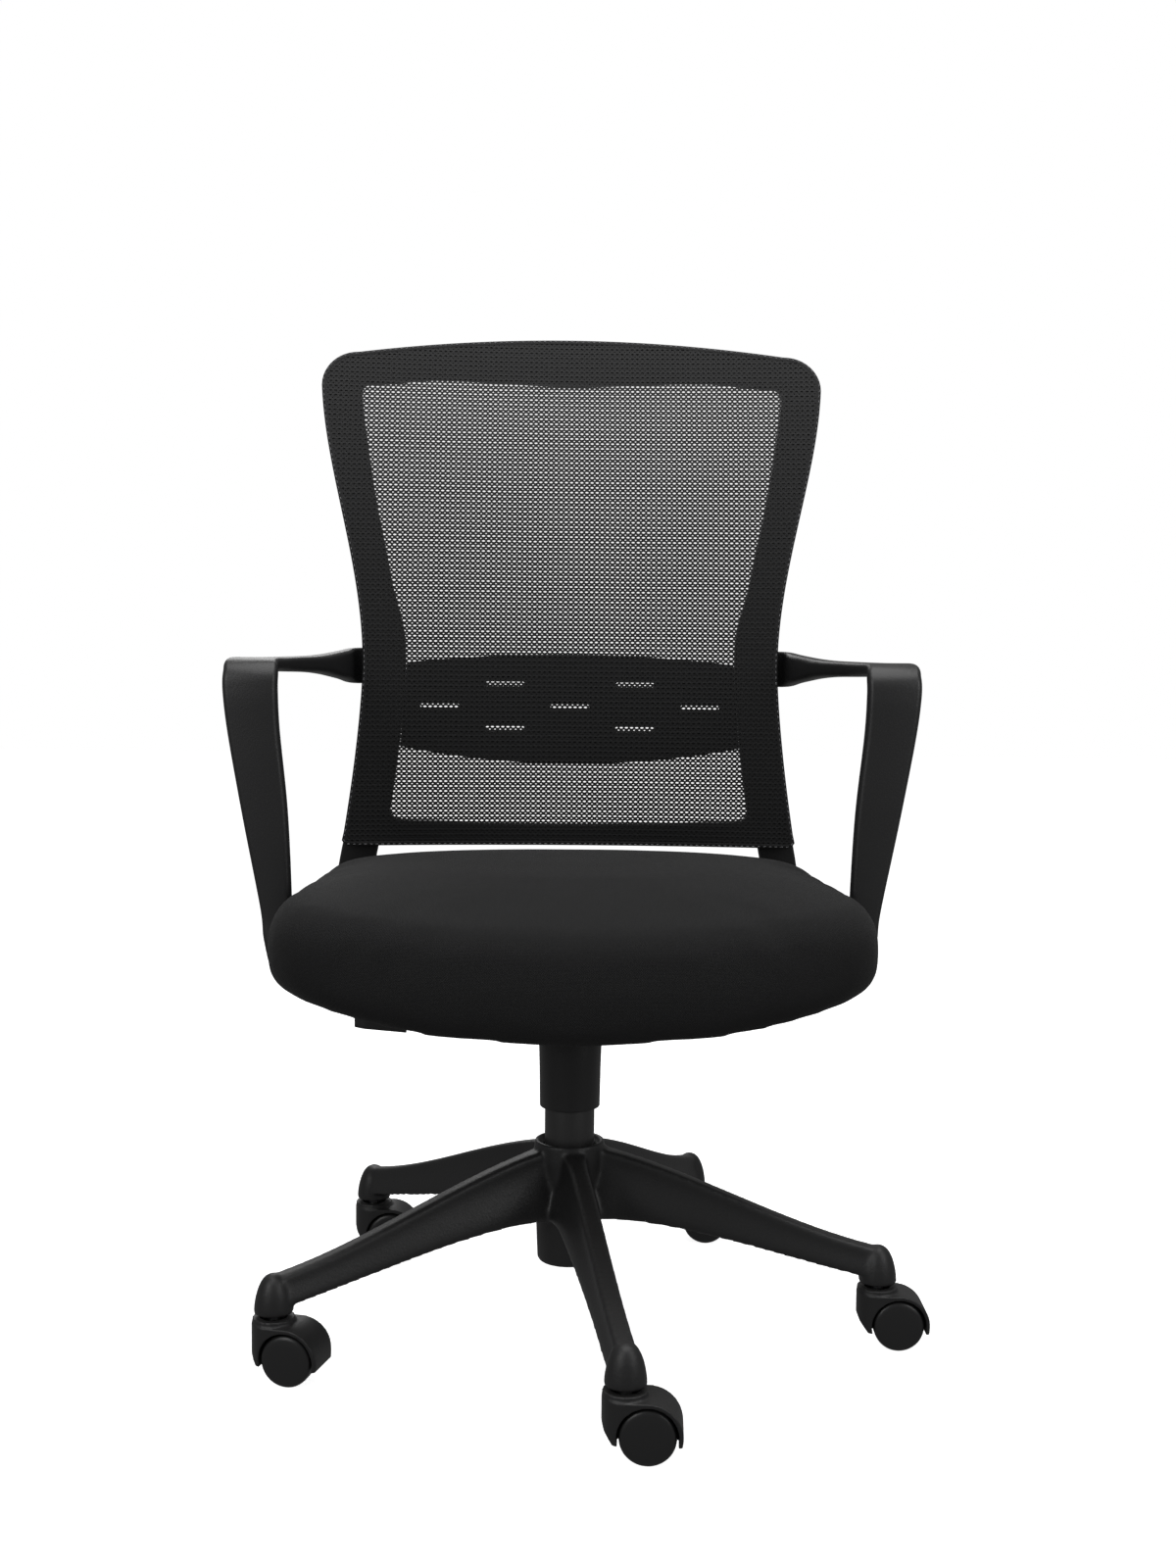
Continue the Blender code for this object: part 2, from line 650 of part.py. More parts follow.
def column_parts(nylon, steel, bright, brass, spindle, lift):
    inner = TUBE_RADIUS - TUBE_WALL
    guide_bottom = TUBE_TOP - GUIDE_LENGTH
    ring("guide_bush", nylon, CYLINDER_RADIUS + RUN, inner - GAP, guide_bottom, TUBE_TOP - 0.001, 28)
    washer_bottom = TUBE_BOTTOM + TUBE_FLOOR + GAP
    washer_top = washer_bottom + 0.0020
    ring("bearing_washer", bright, ROD_RADIUS + 0.001, 0.0150, washer_bottom, washer_top, 20)
    bearing_bottom = washer_top + GAP
    bearing_top = bearing_bottom + 0.0050
    ring("thrust_bearing", brass, ROD_RADIUS + GAP, 0.0140, bearing_bottom, bearing_top, 20, spindle)
    shoulder = bearing_top + GAP
    rod_collar = 0.0040
    cylinder_bottom = shoulder + rod_collar + LIFT_DOWN + CYLINDER_REST_GAP
    gland_top = cylinder_bottom + 0.0060
    piston_bottom = gland_top + LIFT_UP + 0.0030
    neck = ROD_RADIUS - 0.0005
    rod = turned(
        [
            (0.0, TUBE_BOTTOM - 0.0045),
            (neck, TUBE_BOTTOM - 0.0045),
            (neck, shoulder),
            (ROD_RADIUS + 0.004, shoulder),
            (ROD_RADIUS + 0.004, shoulder + rod_collar),
            (ROD_RADIUS, shoulder + rod_collar),
            (ROD_RADIUS, piston_bottom),
            (CYLINDER_RADIUS - CYLINDER_WALL - RUN, piston_bottom),
            (CYLINDER_RADIUS - CYLINDER_WALL - RUN, piston_bottom + 0.008),
            (0.0, piston_bottom + 0.008),
        ],
        20,
    )
    add_part("piston_rod", rod, bright, spindle)
    clip_top = TUBE_BOTTOM - GAP
    clip_outline = arc((0, 0), neck + GAP, 30, 330, 12) + arc((0, 0), neck + 0.005, 330, 30, 12)
    clip = prism(clip_outline, clip_top - 0.0015, clip_top)
    add_part("retaining_clip", clip, steel, spindle)
    cavity_top = SOCKET_TOP - 0.0180
    cavity = CYLINDER_RADIUS - CYLINDER_WALL
    cylinder = turned(
        [
            (ROD_RADIUS + GAP, cylinder_bottom),
            (CYLINDER_RADIUS - 0.001, cylinder_bottom),
            (CYLINDER_RADIUS, cylinder_bottom + 0.001),
            (CYLINDER_RADIUS, SOCKET_BOTTOM),
            (CYLINDER_RADIUS - 0.0010, SOCKET_TOP),
            (0.0030 + RUN, SOCKET_TOP),
            (0.0030 + RUN, cavity_top),
            (cavity, cavity_top),
            (cavity, gland_top),
            (ROD_RADIUS + GAP, gland_top),
        ],
        28,
    )
    add_part("gas_cylinder", cylinder, steel, lift)
    cover_top = FLOOR_BOTTOM - GAP
    outer_low, outer_high = COVER_RADIUS - COVER_TAPER, COVER_RADIUS
    cover = turned(
        [
            (outer_low - COVER_WALL, COVER_BOTTOM),
            (outer_low - 0.001, COVER_BOTTOM),
            (outer_low, COVER_BOTTOM + 0.0015),
            (outer_high, cover_top),
            (CYLINDER_RADIUS + HOUSING_WALL + 0.003 + GAP, cover_top),
            (CYLINDER_RADIUS + HOUSING_WALL + 0.003 + GAP, cover_top - COVER_WALL),
            (outer_high - COVER_WALL, cover_top - COVER_WALL),
        ],
        32,
    )
    add_part("column_cover", cover, nylon, lift)


def valve_pin(mat, lift):
    top = LEVER_Z - LEVER_RADIUS - GAP
    bottom = SOCKET_TOP - 0.0140
    profile = [(0.0, bottom), (0.0030, bottom), (0.0030, top - 0.0005), (0.0025, top), (0.0, top)]
    add_part("valve_pin", turned(profile, 12), mat, lift)


# Tilt mechanism --------------------------------------------------------------------------


def housing_side(inset):
    """The side outline of the housing as (y, z): a floor that rises to the front under a sloping rim."""
    front, rear = HOUSING_FRONT + inset, HOUSING_REAR - inset
    floor = FLOOR_BOTTOM + inset
    nose = floor + 0.029
    rim_front = PLATE_BOTTOM - GAP if inset == 0 else PLATE_BOTTOM + 0.010
    rim_pin = PIN_Z + 0.0125 if inset == 0 else rim_front
    rim_rear = SOCKET_TOP + 0.0065 if inset == 0 else rim_front
    return [
        (rear, floor),
        (rear, rim_rear),
        (PIN_Y - 0.016, rim_pin),
        (front + 0.014, rim_front),
        (front, rim_front),
        (front, nose),
        (-TUBE_RADIUS, floor),
    ]


def mechanism_housing(mat, lift):
    body = prism(housing_side(0), -HOUSING_HALF, HOUSING_HALF, "X")
    housing = add_part("mechanism_housing", body, mat)
    inside = HOUSING_HALF - HOUSING_WALL
    hollow = tool("housing_hollow", prism(housing_side(HOUSING_WALL), -inside, inside, "X"))
    outer = CYLINDER_RADIUS + HOUSING_WALL + 0.003
    boss_top = SOCKET_TOP - 0.004
    boss = [(0.0, SOCKET_BOTTOM), (outer, SOCKET_BOTTOM), (outer, boss_top), (0.0, boss_top)]
    socket = turned(boss, 28)
    taper = turned(
        [
            (0.0, SOCKET_BOTTOM - 0.002),
            (CYLINDER_RADIUS + GAP, SOCKET_BOTTOM - 0.002),
            (CYLINDER_RADIUS + GAP, SOCKET_BOTTOM),
            (CYLINDER_RADIUS - 0.0010 + GAP, SOCKET_TOP),
            (CYLINDER_RADIUS - 0.0010 + GAP, SOCKET_TOP + 0.002),
            (0.0, SOCKET_TOP + 0.002),
        ],
        28,
    )
    pin_hole = prism(circle((PIN_Y, PIN_Z), PIN_RADIUS + GAP, 16), -0.06, 0.06, "X")
    slot = prism(rectangle(-0.006, 0.006, LEVER_Z - 0.0065, LEVER_Z + 0.02), -0.06, -0.02, "X")
    combine(housing, "DIFFERENCE", [hollow])
    combine(housing, "UNION", [tool("housing_socket", socket)])
    combine(
        housing,
        "DIFFERENCE",
        [tool("socket_taper", taper), tool("housing_pin_hole", pin_hole), tool("lever_slot", slot)],
    )
    hang_baked(housing, lift)


def tilt_pin(mat, lift):
    head = 0.0025
    reach = HOUSING_HALF + GAP + PLATE_THICKNESS + GAP
    profile = [
        (0.0, -reach - head),
        (PIN_RADIUS + 0.003, -reach - head),
        (PIN_RADIUS + 0.003, -reach),
        (PIN_RADIUS, -reach),
        (PIN_RADIUS, reach),
        (PIN_RADIUS + 0.003, reach),
        (PIN_RADIUS + 0.003, reach + head),
        (0.0, reach + head),
    ]
    shape = turned(profile, 16)
    shape.transform(Matrix.Translation((0.0, PIN_Y, PIN_Z)) @ Matrix.Rotation(math.pi / 2, 4, "Y"))
    add_part("tilt_pin", shape, mat, lift)


def tilt_spring(mat, lift):
    """A torsion spring coiled on the pin, whose end reaches down to the housing's floor."""
    wire, coils, around = 0.0016, 5, 10
    coil = PIN_RADIUS + GAP + wire + 0.0006
    pitch = 2 * wire + 0.0014
    start = -coils * pitch / 2
    path = []
    for step in range(coils * around + 1):
        turn = 2 * math.pi * step / around
        path.append(Vector((start + pitch * step / around, coil * math.cos(turn), coil * math.sin(turn))))
    path.insert(0, path[0] + Vector((0.0, 0.0, -0.010)))
    path.insert(0, path[0] + Vector((0.0, 0.001, -0.007)))
    rings = []
    for i, point in enumerate(path):
        along = (path[min(i + 1, len(path) - 1)] - path[max(i - 1, 0)]).normalized()
        across = along.cross(Vector((1.0, 0.0, 0.0))).normalized()
        up = along.cross(across).normalized()
        turns = [2 * math.pi * k / 5 for k in range(5)]
        rings.append([point + (across * math.cos(a) + up * math.sin(a)) * wire for a in turns])
    shape = loft(rings)
    shape.transform(Matrix.Translation((0.0, PIN_Y, PIN_Z)))
    add_part("tilt_spring", shape, mat, lift)


def lever(steel, nylon, axis):
    """The height lever: a rod over the valve, bent down to a flat paddle at the sitter's right."""
    bend = PADDLE_INNER - 0.045
    low = LEVER_Z - 0.0130
    path = [
        (0.0120, LEVER_Z),
        (-0.0900, LEVER_Z),
        (-bend, LEVER_Z - 0.0025),
        (-PADDLE_INNER + 0.006, low + 0.003),
        (-PADDLE_INNER - 0.020, low),
    ]
    rings = []
    for i, (x, z) in enumerate(path):
        before, after = path[max(i - 1, 0)], path[min(i + 1, len(path) - 1)]
        along = Vector((after[0] - before[0], 0.0, after[1] - before[1])).normalized()
        across = along.cross(Vector((0.0, 1.0, 0.0)))
        turns = [2 * math.pi * k / 10 for k in range(10)]
        rings.append(
            [
                Vector((x, LEVER_RADIUS * math.cos(a), z)) + across * LEVER_RADIUS * math.sin(a)
                for a in turns
            ]
        )
    add_part("height_lever", loft(rings), steel, axis)
    half, thick = 0.0200, 0.0140
    middle = low - 0.0005
    outline = (
        arc((-PADDLE_OUTER + 0.012, half - 0.012), 0.012, 90, 180, 4)
        + arc((-PADDLE_OUTER + 0.012, -half + 0.012), 0.012, 180, 270, 4)
        + [(-PADDLE_INNER, -half), (-PADDLE_INNER, half)]
    )
    grip = prism(outline, middle - thick / 2, middle + thick / 2)
    lip_side = [
        (-PADDLE_INNER, middle),
        (-PADDLE_OUTER, middle),
        (-PADDLE_OUTER, low - 0.009),
        (-PADDLE_OUTER + 0.008, low - 0.0135),
        (-PADDLE_INNER, low - 0.0145),
    ]
    lip = prism(lip_side, -half, -half + 0.006, "Y")
    paddle = add_part("lever_paddle", grip, nylon)
    bore_end = -PADDLE_INNER - 0.0215
    reach = LEVER_RADIUS + RUN * 2
    bore = circle((0.0, 0.0), reach, 10)
    hole = loft(
        [
            [(bore_end, y, low + 0.0001 + z) for y, z in bore],
            [(-PADDLE_INNER + 0.004, y, low + 0.003 + z) for y, z in bore],
        ]
    )
    combine(paddle, "UNION", [tool("paddle_lip", lip)])
    combine(paddle, "DIFFERENCE", [tool("paddle_bore", hole)])
    hang_baked(paddle, axis)


def top_plate(mat, tilt):
    """The seat plate, with two cheeks that reach down to the pin outside the housing."""
    half = PLATE_WIDTH / 2
    outline = rectangle(-half, half, PLATE_FRONT, PLATE_REAR)
    plate = add_part("top_plate", prism(outline, PLATE_BOTTOM, PLATE_TOP), mat)
    cheeks = []
    for side in (-1, 1):
        near = side * (HOUSING_HALF + GAP)
        far = side * (HOUSING_HALF + GAP + PLATE_THICKNESS)
        cheek = [(PIN_Y - 0.026, PLATE_BOTTOM + 0.001)] + arc((PIN_Y, PIN_Z), 0.0120, 180, 360, 8)
        cheek.append((PIN_Y + 0.026, PLATE_BOTTOM + 0.001))
        cheeks.append(tool(f"cheek_{side}", prism(cheek, near, far, "X")))
    pin_hole = prism(circle((PIN_Y, PIN_Z), PIN_RADIUS + GAP, 16), -0.06, 0.06, "X")
    combine(plate, "UNION", cheeks)
    combine(plate, "DIFFERENCE", [tool("plate_pin_hole", pin_hole)])
    combine(plate, "DIFFERENCE", bolt_holes("plate", PLATE_BOLTS, PLATE_BOTTOM))
    hang_baked(plate, tilt)


def bolt_holes(name, places, bottom):
    """Clearance holes from just below a part up past the bolts' ends."""
    holes = []
    for number, place in enumerate(places, 1):
        hole = prism(circle(place, BOLT_RADIUS + GAP, 10), bottom - 0.002, BOLT_TOP + GAP)
        holes.append(tool(f"{name}_hole_{number}", hole))
    return holes


def bolts(mat, tilt):
    """Bolts that come up from below through a foot or plate and the shell into the board."""
    groups = [
        ("plate_bolt", PLATE_BOLTS, PLATE_BOTTOM),
        ("arm_bolt", ARM_BOLTS, SHELL_BOTTOM - GAP - FOOT_THICKNESS),
        ("back_bolt", BACK_BOLTS, SHELL_BOTTOM - GAP - FOOT_THICKNESS),
    ]
    for name, places, seat in groups:
        for number, place in enumerate(places, 1):
            head = seat - GAP
            profile = [
                (0.0, head - BOLT_HEAD),
                (BOLT_HEAD_RADIUS - 0.001, head - BOLT_HEAD),
                (BOLT_HEAD_RADIUS, head - BOLT_HEAD + 0.001),
                (BOLT_HEAD_RADIUS, head),
                (BOLT_RADIUS, head),
                (BOLT_RADIUS, BOLT_TOP),
                (0.0, BOLT_TOP),
            ]
            add_part(f"{name}_{number}", turned(profile, 10, place), mat, tilt)


# Seat ------------------------------------------------------------------------------------


def half_seat_width(y):
    share = (y + SEAT_TAPER_START) / (SEAT_REAR + SEAT_TAPER_START)
    return SEAT_HALF_WIDTH - SEAT_REAR_NARROWING * ease(share)


def seat_outline(inset, count=36):
    """The seat's plan: a rounded rectangle that narrows to the rear and bows at the front."""
    centre = (SEAT_FRONT + SEAT_REAR) / 2
    deep = (SEAT_REAR - SEAT_FRONT) / 2 - inset
    points = []
    for i in range(count):
        turn = 2 * math.pi * i / count
        c, s = math.cos(turn), math.sin(turn)
        y = centre + deep * math.copysign(abs(s) ** (2 / SEAT_CORNER), s)
        half = half_seat_width(y) - inset
        x = half * math.copysign(abs(c) ** (2 / SEAT_CORNER), c)
        bow = SEAT_BOW * (x / half) ** 2 * ease((centre - y) / deep)
        points.append((x, y + bow))
    return points


def seat_shell(mat, tilt):
    """The plastic pan under the board, with a low rim round it."""
    edge = SEAT_BOARD_INSET + GAP * 4
    rim = SHELL_TOP + 0.0060
    wall = 0.0025
    rings = [
        [(x, y, SHELL_BOTTOM) for x, y in seat_outline(edge + 0.006)],
        [(x, y, SHELL_BOTTOM + 0.0030) for x, y in seat_outline(edge)],
        [(x, y, rim) for x, y in seat_outline(edge)],
        [(x, y, rim) for x, y in seat_outline(edge + wall)],
        [(x, y, SHELL_TOP) for x, y in seat_outline(edge + wall)],
    ]
    shell = add_part("seat_shell", loft(rings), mat)
    places = PLATE_BOLTS + ARM_BOLTS + BACK_BOLTS
    combine(shell, "DIFFERENCE", bolt_holes("shell", places, SHELL_BOTTOM))
    hang_baked(shell, tilt)


def seat_board(mat, tilt):
    outline = seat_outline(SEAT_BOARD_INSET + GAP * 4 + 0.0025 + GAP)
    board = add_part("seat_board", prism(outline, BOARD_BOTTOM, BOARD_TOP), mat)
    places = PLATE_BOLTS + ARM_BOLTS + BACK_BOLTS
    combine(board, "DIFFERENCE", bolt_holes("board", places, BOARD_BOTTOM))
    hang_baked(board, tilt)


def seat_cushion(mat, tilt):
    """An upholstered cushion whose skirt hides the board, crowned on top and rolled down in front."""

    def lowered(y):
        return ease((-y - 0.080) / 0.170)

    def ring(inset, height):
        top = height - CUSHION_BOTTOM > CUSHION_HEIGHT * 0.6
        drop = CUSHION_FRONT_DROP * (0.5 if top else 1.0)
        return [
            (x, y, height - drop * lowered(y) * (1 - 0.8 * (x / SEAT_HALF_WIDTH) ** 2))
            for x, y in seat_outline(inset)
        ]

    low, high = CUSHION_BOTTOM, CUSHION_BOTTOM + CUSHION_HEIGHT - CUSHION_CROWN
    ceiling = BOARD_TOP + GAP
    rings = [
        [(x, y, ceiling) for x, y in seat_outline(SEAT_BOARD_INSET)],
        ring(SEAT_BOARD_INSET, low + 0.002),
        ring(0.0140, low - 0.002),
        ring(0.0050, low + 0.006),
        ring(0.0, low + 0.026),
        ring(0.0005, low + 0.050),
        ring(0.0100, low + 0.075),
        ring(0.0280, high - 0.003),
        ring(0.0700, high + 0.004),
        ring(0.1300, high + CUSHION_CROWN - 0.003),
        ring(0.1900, high + CUSHION_CROWN),
    ]
    add_part("seat_cushion", loft(rings), mat, tilt)


# Back ------------------------------------------------------------------------------------


def back_depth(x, z):
    """The front of the back frame: a lumbar bulge at the waist, reclined above and dished across."""
    waist = BACK_BOTTOM + BACK_WAIST_SHARE * BACK_HEIGHT
    rise = z - waist + 0.012
    lean = BACK_RECLINE * rise * rise if rise > 0 else BACK_LUMBAR_RISE * rise * rise
    return BACK_DEPTH_AT_WAIST + lean - BACK_DISH * x * x


def back_half(z):
    """Half the width of the back at a height, from the hips over the waist to the shoulders."""
    waist = BACK_BOTTOM + BACK_WAIST_SHARE * BACK_HEIGHT
    shoulder = BACK_BOTTOM + BACK_HEIGHT - BACK_CROWN - BACK_CORNER
    if z < waist:
        share = (waist - z) / (waist - BACK_BOTTOM)
        return blend(BACK_HALF_WAIST, BACK_HALF_BOTTOM, share**1.5)
    share = min((z - waist) / (shoulder - waist), 1.0)
    return blend(BACK_HALF_WAIST, BACK_HALF_TOP, ease(share * 0.93 + 0.02) / ease(0.95))


def back_outline_rows(inset, steps=18):
    """Rows of (half width, height at the middle, height at the side) up the back."""
    low = BACK_BOTTOM + inset
    crown = BACK_BOTTOM + BACK_HEIGHT - inset
    shoulder = crown - BACK_CROWN - BACK_CORNER + inset
    rows = []
    for i in range(steps + 1):
        side = blend(low, shoulder, i / steps)
        share = ease(i / steps)
        rows.append((back_half(side) - inset, side + share * BACK_CROWN, side))
    radius = BACK_CORNER - inset
    for degrees in (30, 55, 75, 90):
        a = math.radians(degrees)
        half = BACK_HALF_TOP - inset - radius * (1 - math.cos(a))
        side = shoulder + radius * math.sin(a)
        rows.append((half, side + BACK_CROWN, side))
    return rows


def back_sheet(inset, front, thickness, columns=12, steps=18):
    """A curved sheet with the outline of the back. Its faces are offset along Y from the frame's front."""
    rings = []
    for half, middle, side in back_outline_rows(inset, steps):
        near, far = [], []
        for k in range(columns + 1):
            share = 2 * k / columns - 1
            x = half * share
            z = blend(middle, side, share * share)
            y = back_depth(x, z) + front
            near.append((x, y, z))
            far.append((x, y + thickness, z))
        rings.append(near + far[::-1])
    bm = bmesh.new()
    rows = [[bm.verts.new(point) for point in points] for points in rings]
    count = 2 * (columns + 1)
    for low, high in zip(rows, rows[1:]):
        for i in range(count):
            j = (i + 1) % count
            bm.faces.new((low[i], low[j], high[j], high[i]))
    for row in (rows[0], rows[-1]):
        for k in range(columns):
            bm.faces.new((row[k], row[k + 1], row[count - 2 - k], row[count - 1 - k]))
    return bm


def window_half(z):
    """Half the width of the opening at a height: the side rails are a little wider half way up."""
    share = (z - BACK_BOTTOM) / BACK_HEIGHT
    return back_half(z) - RAIL_SIDE - RAIL_SIDE_SWELL * math.sin(math.pi * share)


def window_outline():
    """The opening in the frame as (x, z): a narrow waist, with a dipped top edge."""
    low = BACK_BOTTOM + RAIL_BOTTOM
    high = BACK_BOTTOM + BACK_HEIGHT - RAIL_TOP
    corner = 0.010
    heights = [blend(low + corner, high - corner, i / 10) for i in range(11)]
    side = [(window_half(z), z) for z in heights]
    top_x, low_x = side[-1][0], side[0][0]
    top = arc((top_x - corner, high - corner), corner, 0, 90, 3)[1:]
    dip = [(top_x * share, high - 0.003 * math.sin(math.pi * share)) for share in (0.75, 0.5, 0.25)]
    base = arc((low_x - corner, low + corner), corner, -90, 0, 3)[:-1]
    sill = [(low_x * share, low - 0.006 * (1 - share * share)) for share in (0.3, 0.6)]
    right = [(0.0, low - 0.006)] + sill + base + side + top + dip
    return right + [(0.0, high - 0.002)] + [(-x, z) for x, z in right[:0:-1]]


def back_leg(side):
    """A leg from the side rail, down behind the cushion and forward to a foot under the shell."""
    foot_top = SHELL_BOTTOM - GAP
    rail_z = BACK_BOTTOM + 0.035
    rail_x = BACK_HALF_BOTTOM - BACK_LEG_WIDTH / 2 - 0.003
    rail_y = back_depth(rail_x, rail_z)
    half_board = FOOT_THICKNESS / 2
    behind = SEAT_REAR + 0.022
    stations = [
        (rail_x, rail_y + BACK_THICKNESS / 2, rail_z, 0, 0.0140),
        (rail_x + 0.003, max(rail_y, behind - 0.012) + 0.010, BACK_BOTTOM - 0.010, -4, 0.0140),
        (rail_x + 0.008, behind + 0.012, BACK_BOTTOM - 0.050, -4, 0.0140),
        (BACK_LEG_X + 0.006, behind + 0.011, foot_top + 0.022, 10, 0.0135),
        (BACK_LEG_X + 0.003, behind + 0.003, foot_top + 0.004, 45, 0.0125),
        (BACK_LEG_X, behind - 0.018, foot_top - half_board, 90, FOOT_THICKNESS),
        (BACK_LEG_X, BACK_FOOT_FRONT, foot_top - half_board, 90, FOOT_THICKNESS),
    ]
    wide = BACK_LEG_WIDTH / 2
    rings = []
    for x, y, z, degrees, thick in stations:
        a = math.radians(degrees)
        across = Vector((0.0, math.cos(a), -math.sin(a))) * thick / 2
        middle = Vector((side * x, y, z))
        edge = Vector((wide, 0.0, 0.0))
        soft = Vector((wide - 0.003, 0.0, 0.0))
        shy = across * (1 - 0.006 / thick)
        rings.append(
            [middle + soft + across, middle + edge + shy, middle + edge - shy, middle + soft - across]
            + [middle - soft - across, middle - edge - shy, middle - edge + shy, middle - soft + across]
        )
    return tool(f"back_leg_{'left' if side < 0 else 'right'}", loft(rings))


def back_frame(mat, tilt):
    frame = add_part("back_frame", back_sheet(0.0, 0.0, BACK_THICKNESS), mat)
    window = tool("back_window", prism(window_outline(), 0.0, 0.6, "Y"))
    holes = []
    for number, place in enumerate(BACK_BOLTS, 1):
        hole = prism(circle(place, BOLT_RADIUS + GAP, 10), SHELL_BOTTOM - 0.02, SHELL_BOTTOM + 0.002)
        holes.append(tool(f"back_foot_hole_{number}", hole))
    combine(frame, "DIFFERENCE", [window])
    combine(frame, "UNION", [back_leg(-1), back_leg(1)])
    combine(frame, "DIFFERENCE", holes)
    hang_baked(frame, tilt)


def back_mesh(mat, tilt):
    """The fabric stretched over the front of the frame, as a plain thin sheet."""
    sheet = back_sheet(MESH_INSET, -MESH_THICKNESS - MESH_CLEARANCE, MESH_THICKNESS, 8, 12)
    add_part("back_mesh", sheet, mat, tilt)


def lumbar_plate(mat, tilt):
    """A bowed band across the window with seven vent slots in three rows."""
    low, high = BACK_BOTTOM + LUMBAR_LOW, BACK_BOTTOM + LUMBAR_HIGH
    columns = 16
    front = 0.0020
    rings = []
    for k in range(columns + 1):
        share = 2 * k / columns - 1
        heights = []
        for level in (0.0, 0.25, 0.5, 0.75, 1.0):
            bottom = low + LUMBAR_BOW * share * share
            top = high - 0.010 * share * share
            heights.append(blend(bottom, top, level))
        points = []
        for z in heights:
            x = (window_half(z) - LUMBAR_GAP) * share
            points.append(Vector((x, back_depth(x, z) + front, z)))
        back = [point + Vector((0.0, LUMBAR_THICKNESS, 0.0)) for point in points]
        rings.append(points + back[::-1])
    plate = add_part("lumbar_plate", loft(rings), mat)
    middle = (low + high) / 2 + 0.003
    places = [(x * SLOT_PITCH, row * SLOT_ROW) for row in (-1, 1) for x in (-1, 1)]
    places += [(x * SLOT_PITCH * 2, 0.0) for x in (-1, 0, 1)]
    slots = []
    for number, (x, z) in enumerate(places, 1):
        half, tall = SLOT_LENGTH / 2, SLOT_HEIGHT / 2
        z += middle
        outline = rectangle(x - half, x + half, z - tall, z + tall)
        slots.append(tool(f"slot_{number}", prism(outline, 0.0, 0.6, "Y")))
    combine(plate, "DIFFERENCE", slots)
    hang_baked(plate, tilt)


# Arms ------------------------------------------------------------------------------------


def arm_stations():
    """The right arm from its tongue behind the back frame, forward, down and under the seat.

    Each station is (centre, width direction, width, thickness).
    """
    foot_z = SHELL_BOTTOM - GAP - FOOT_THICKNESS / 2
    top = ARM_HEIGHT
    tongue_z = top - 0.0095
    pad_z = top - ARM_PAD_THICKNESS / 2 + PAD_SKIM
    front = ARM_FRONT + ARM_POST_THICKNESS / 2
    upright, level = Vector((0.0, 0.0, 1.0)), Vector((1.0, 0.0, 0.0))
    post_x = half_seat_width(front) + ARM_SEAT_CLEARANCE + ARM_LOW_WIDTH / 2
    top_x = ARM_HALF_SPAN - ARM_TOP_WIDTH / 2

    tongue = 0.008

    def behind(x):
        return back_depth(x, tongue_z) + BACK_THICKNESS + tongue / 2 + TONGUE_GAP

    inner, edge = BACK_HALF_WAIST - 0.030, BACK_HALF_WAIST - 0.004
    bar = ARM_BAR_HEIGHT
    slant = Vector((1.0, -2 * BACK_DISH * BACK_HALF_WAIST, 0.0)).normalized()
    pad, post = ARM_PAD_THICKNESS, ARM_POST_THICKNESS
    root_x = BACK_HALF_WAIST

    def outward(share):
        """A side place between the back frame and the pad."""
        return blend(root_x, top_x, share)

    def down(share):
        """A side place between the foot of the post and the pad."""
        return blend(post_x, top_x, share)

    rows = [
        ((inner, behind(inner), tongue_z), slant, tongue, bar),
        ((edge, behind(edge), tongue_z), slant, tongue, bar),
        ((root_x + 0.0135, behind(edge) - 0.0075, tongue_z), level, 0.0125, bar - 0.001),
        ((root_x + 0.0240, behind(edge) - 0.0300, tongue_z + 0.001), level, 0.0180, bar - 0.009),
        ((outward(0.50), 0.140, pad_z - 0.0010), level, ARM_BAR_WIDTH, 0.0185),
        ((outward(0.72), 0.090, pad_z - 0.0005), level, 0.0300, 0.0155),
        ((outward(0.90), 0.048, pad_z), level, 0.0430, pad),
        ((top_x, front + 0.018, pad_z), level, ARM_TOP_WIDTH - 0.002, pad),
        ((top_x, front + 0.003, pad_z - 0.0085), level, ARM_TOP_WIDTH, post - 0.002),
        ((top_x, front, pad_z - 0.0260), level, ARM_TOP_WIDTH, post),
        ((down(0.86), front, 0.600), level, ARM_TOP_WIDTH - 0.003, post),
        ((down(0.42), front, 0.520), level, 0.0440, post - 0.001),
        ((post_x, front, 0.430), level, ARM_LOW_WIDTH + 0.001, post - 0.002),
        ((post_x - 0.001, front, 0.398), level, ARM_LOW_WIDTH - 0.004, 0.0200),
        ((post_x - 0.006, front, foot_z + 0.014), Vector((0.8, 0.0, -0.6)), 0.0190, 0.0300),
        ((post_x - 0.020, front, foot_z), -upright, FOOT_THICKNESS, 0.0500),
        ((ARM_FOOT_INNER, front, foot_z), -upright, FOOT_THICKNESS, ARM_FOOT_LENGTH),
    ]
    return [(Vector(centre), hint, wide, tall) for centre, hint, wide, tall in rows]


def smooth_path(stations, steps):
    """Stations between the given ones, on a Catmull-Rom curve through them."""
    out = []
    last = len(stations) - 1
    for i in range(last):
        a, b, c, d = (stations[min(max(i + k, 0), last)] for k in (-1, 0, 1, 2))
        count = 1 if i in (0, last - 1) else steps
        for step in range(count):
            t = step / count
            values = []
            for va, vb, vc, vd in zip(a, b, c, d):
                values.append(
                    vb + (vc - va) * t / 2 + (va * 2 - vb * 5 + vc * 4 - vd) * t * t / 2
                    + (vb * 3 - va - vc * 3 + vd) * t**3 / 2
                )
            out.append(tuple(values))
    return out + [stations[-1]]


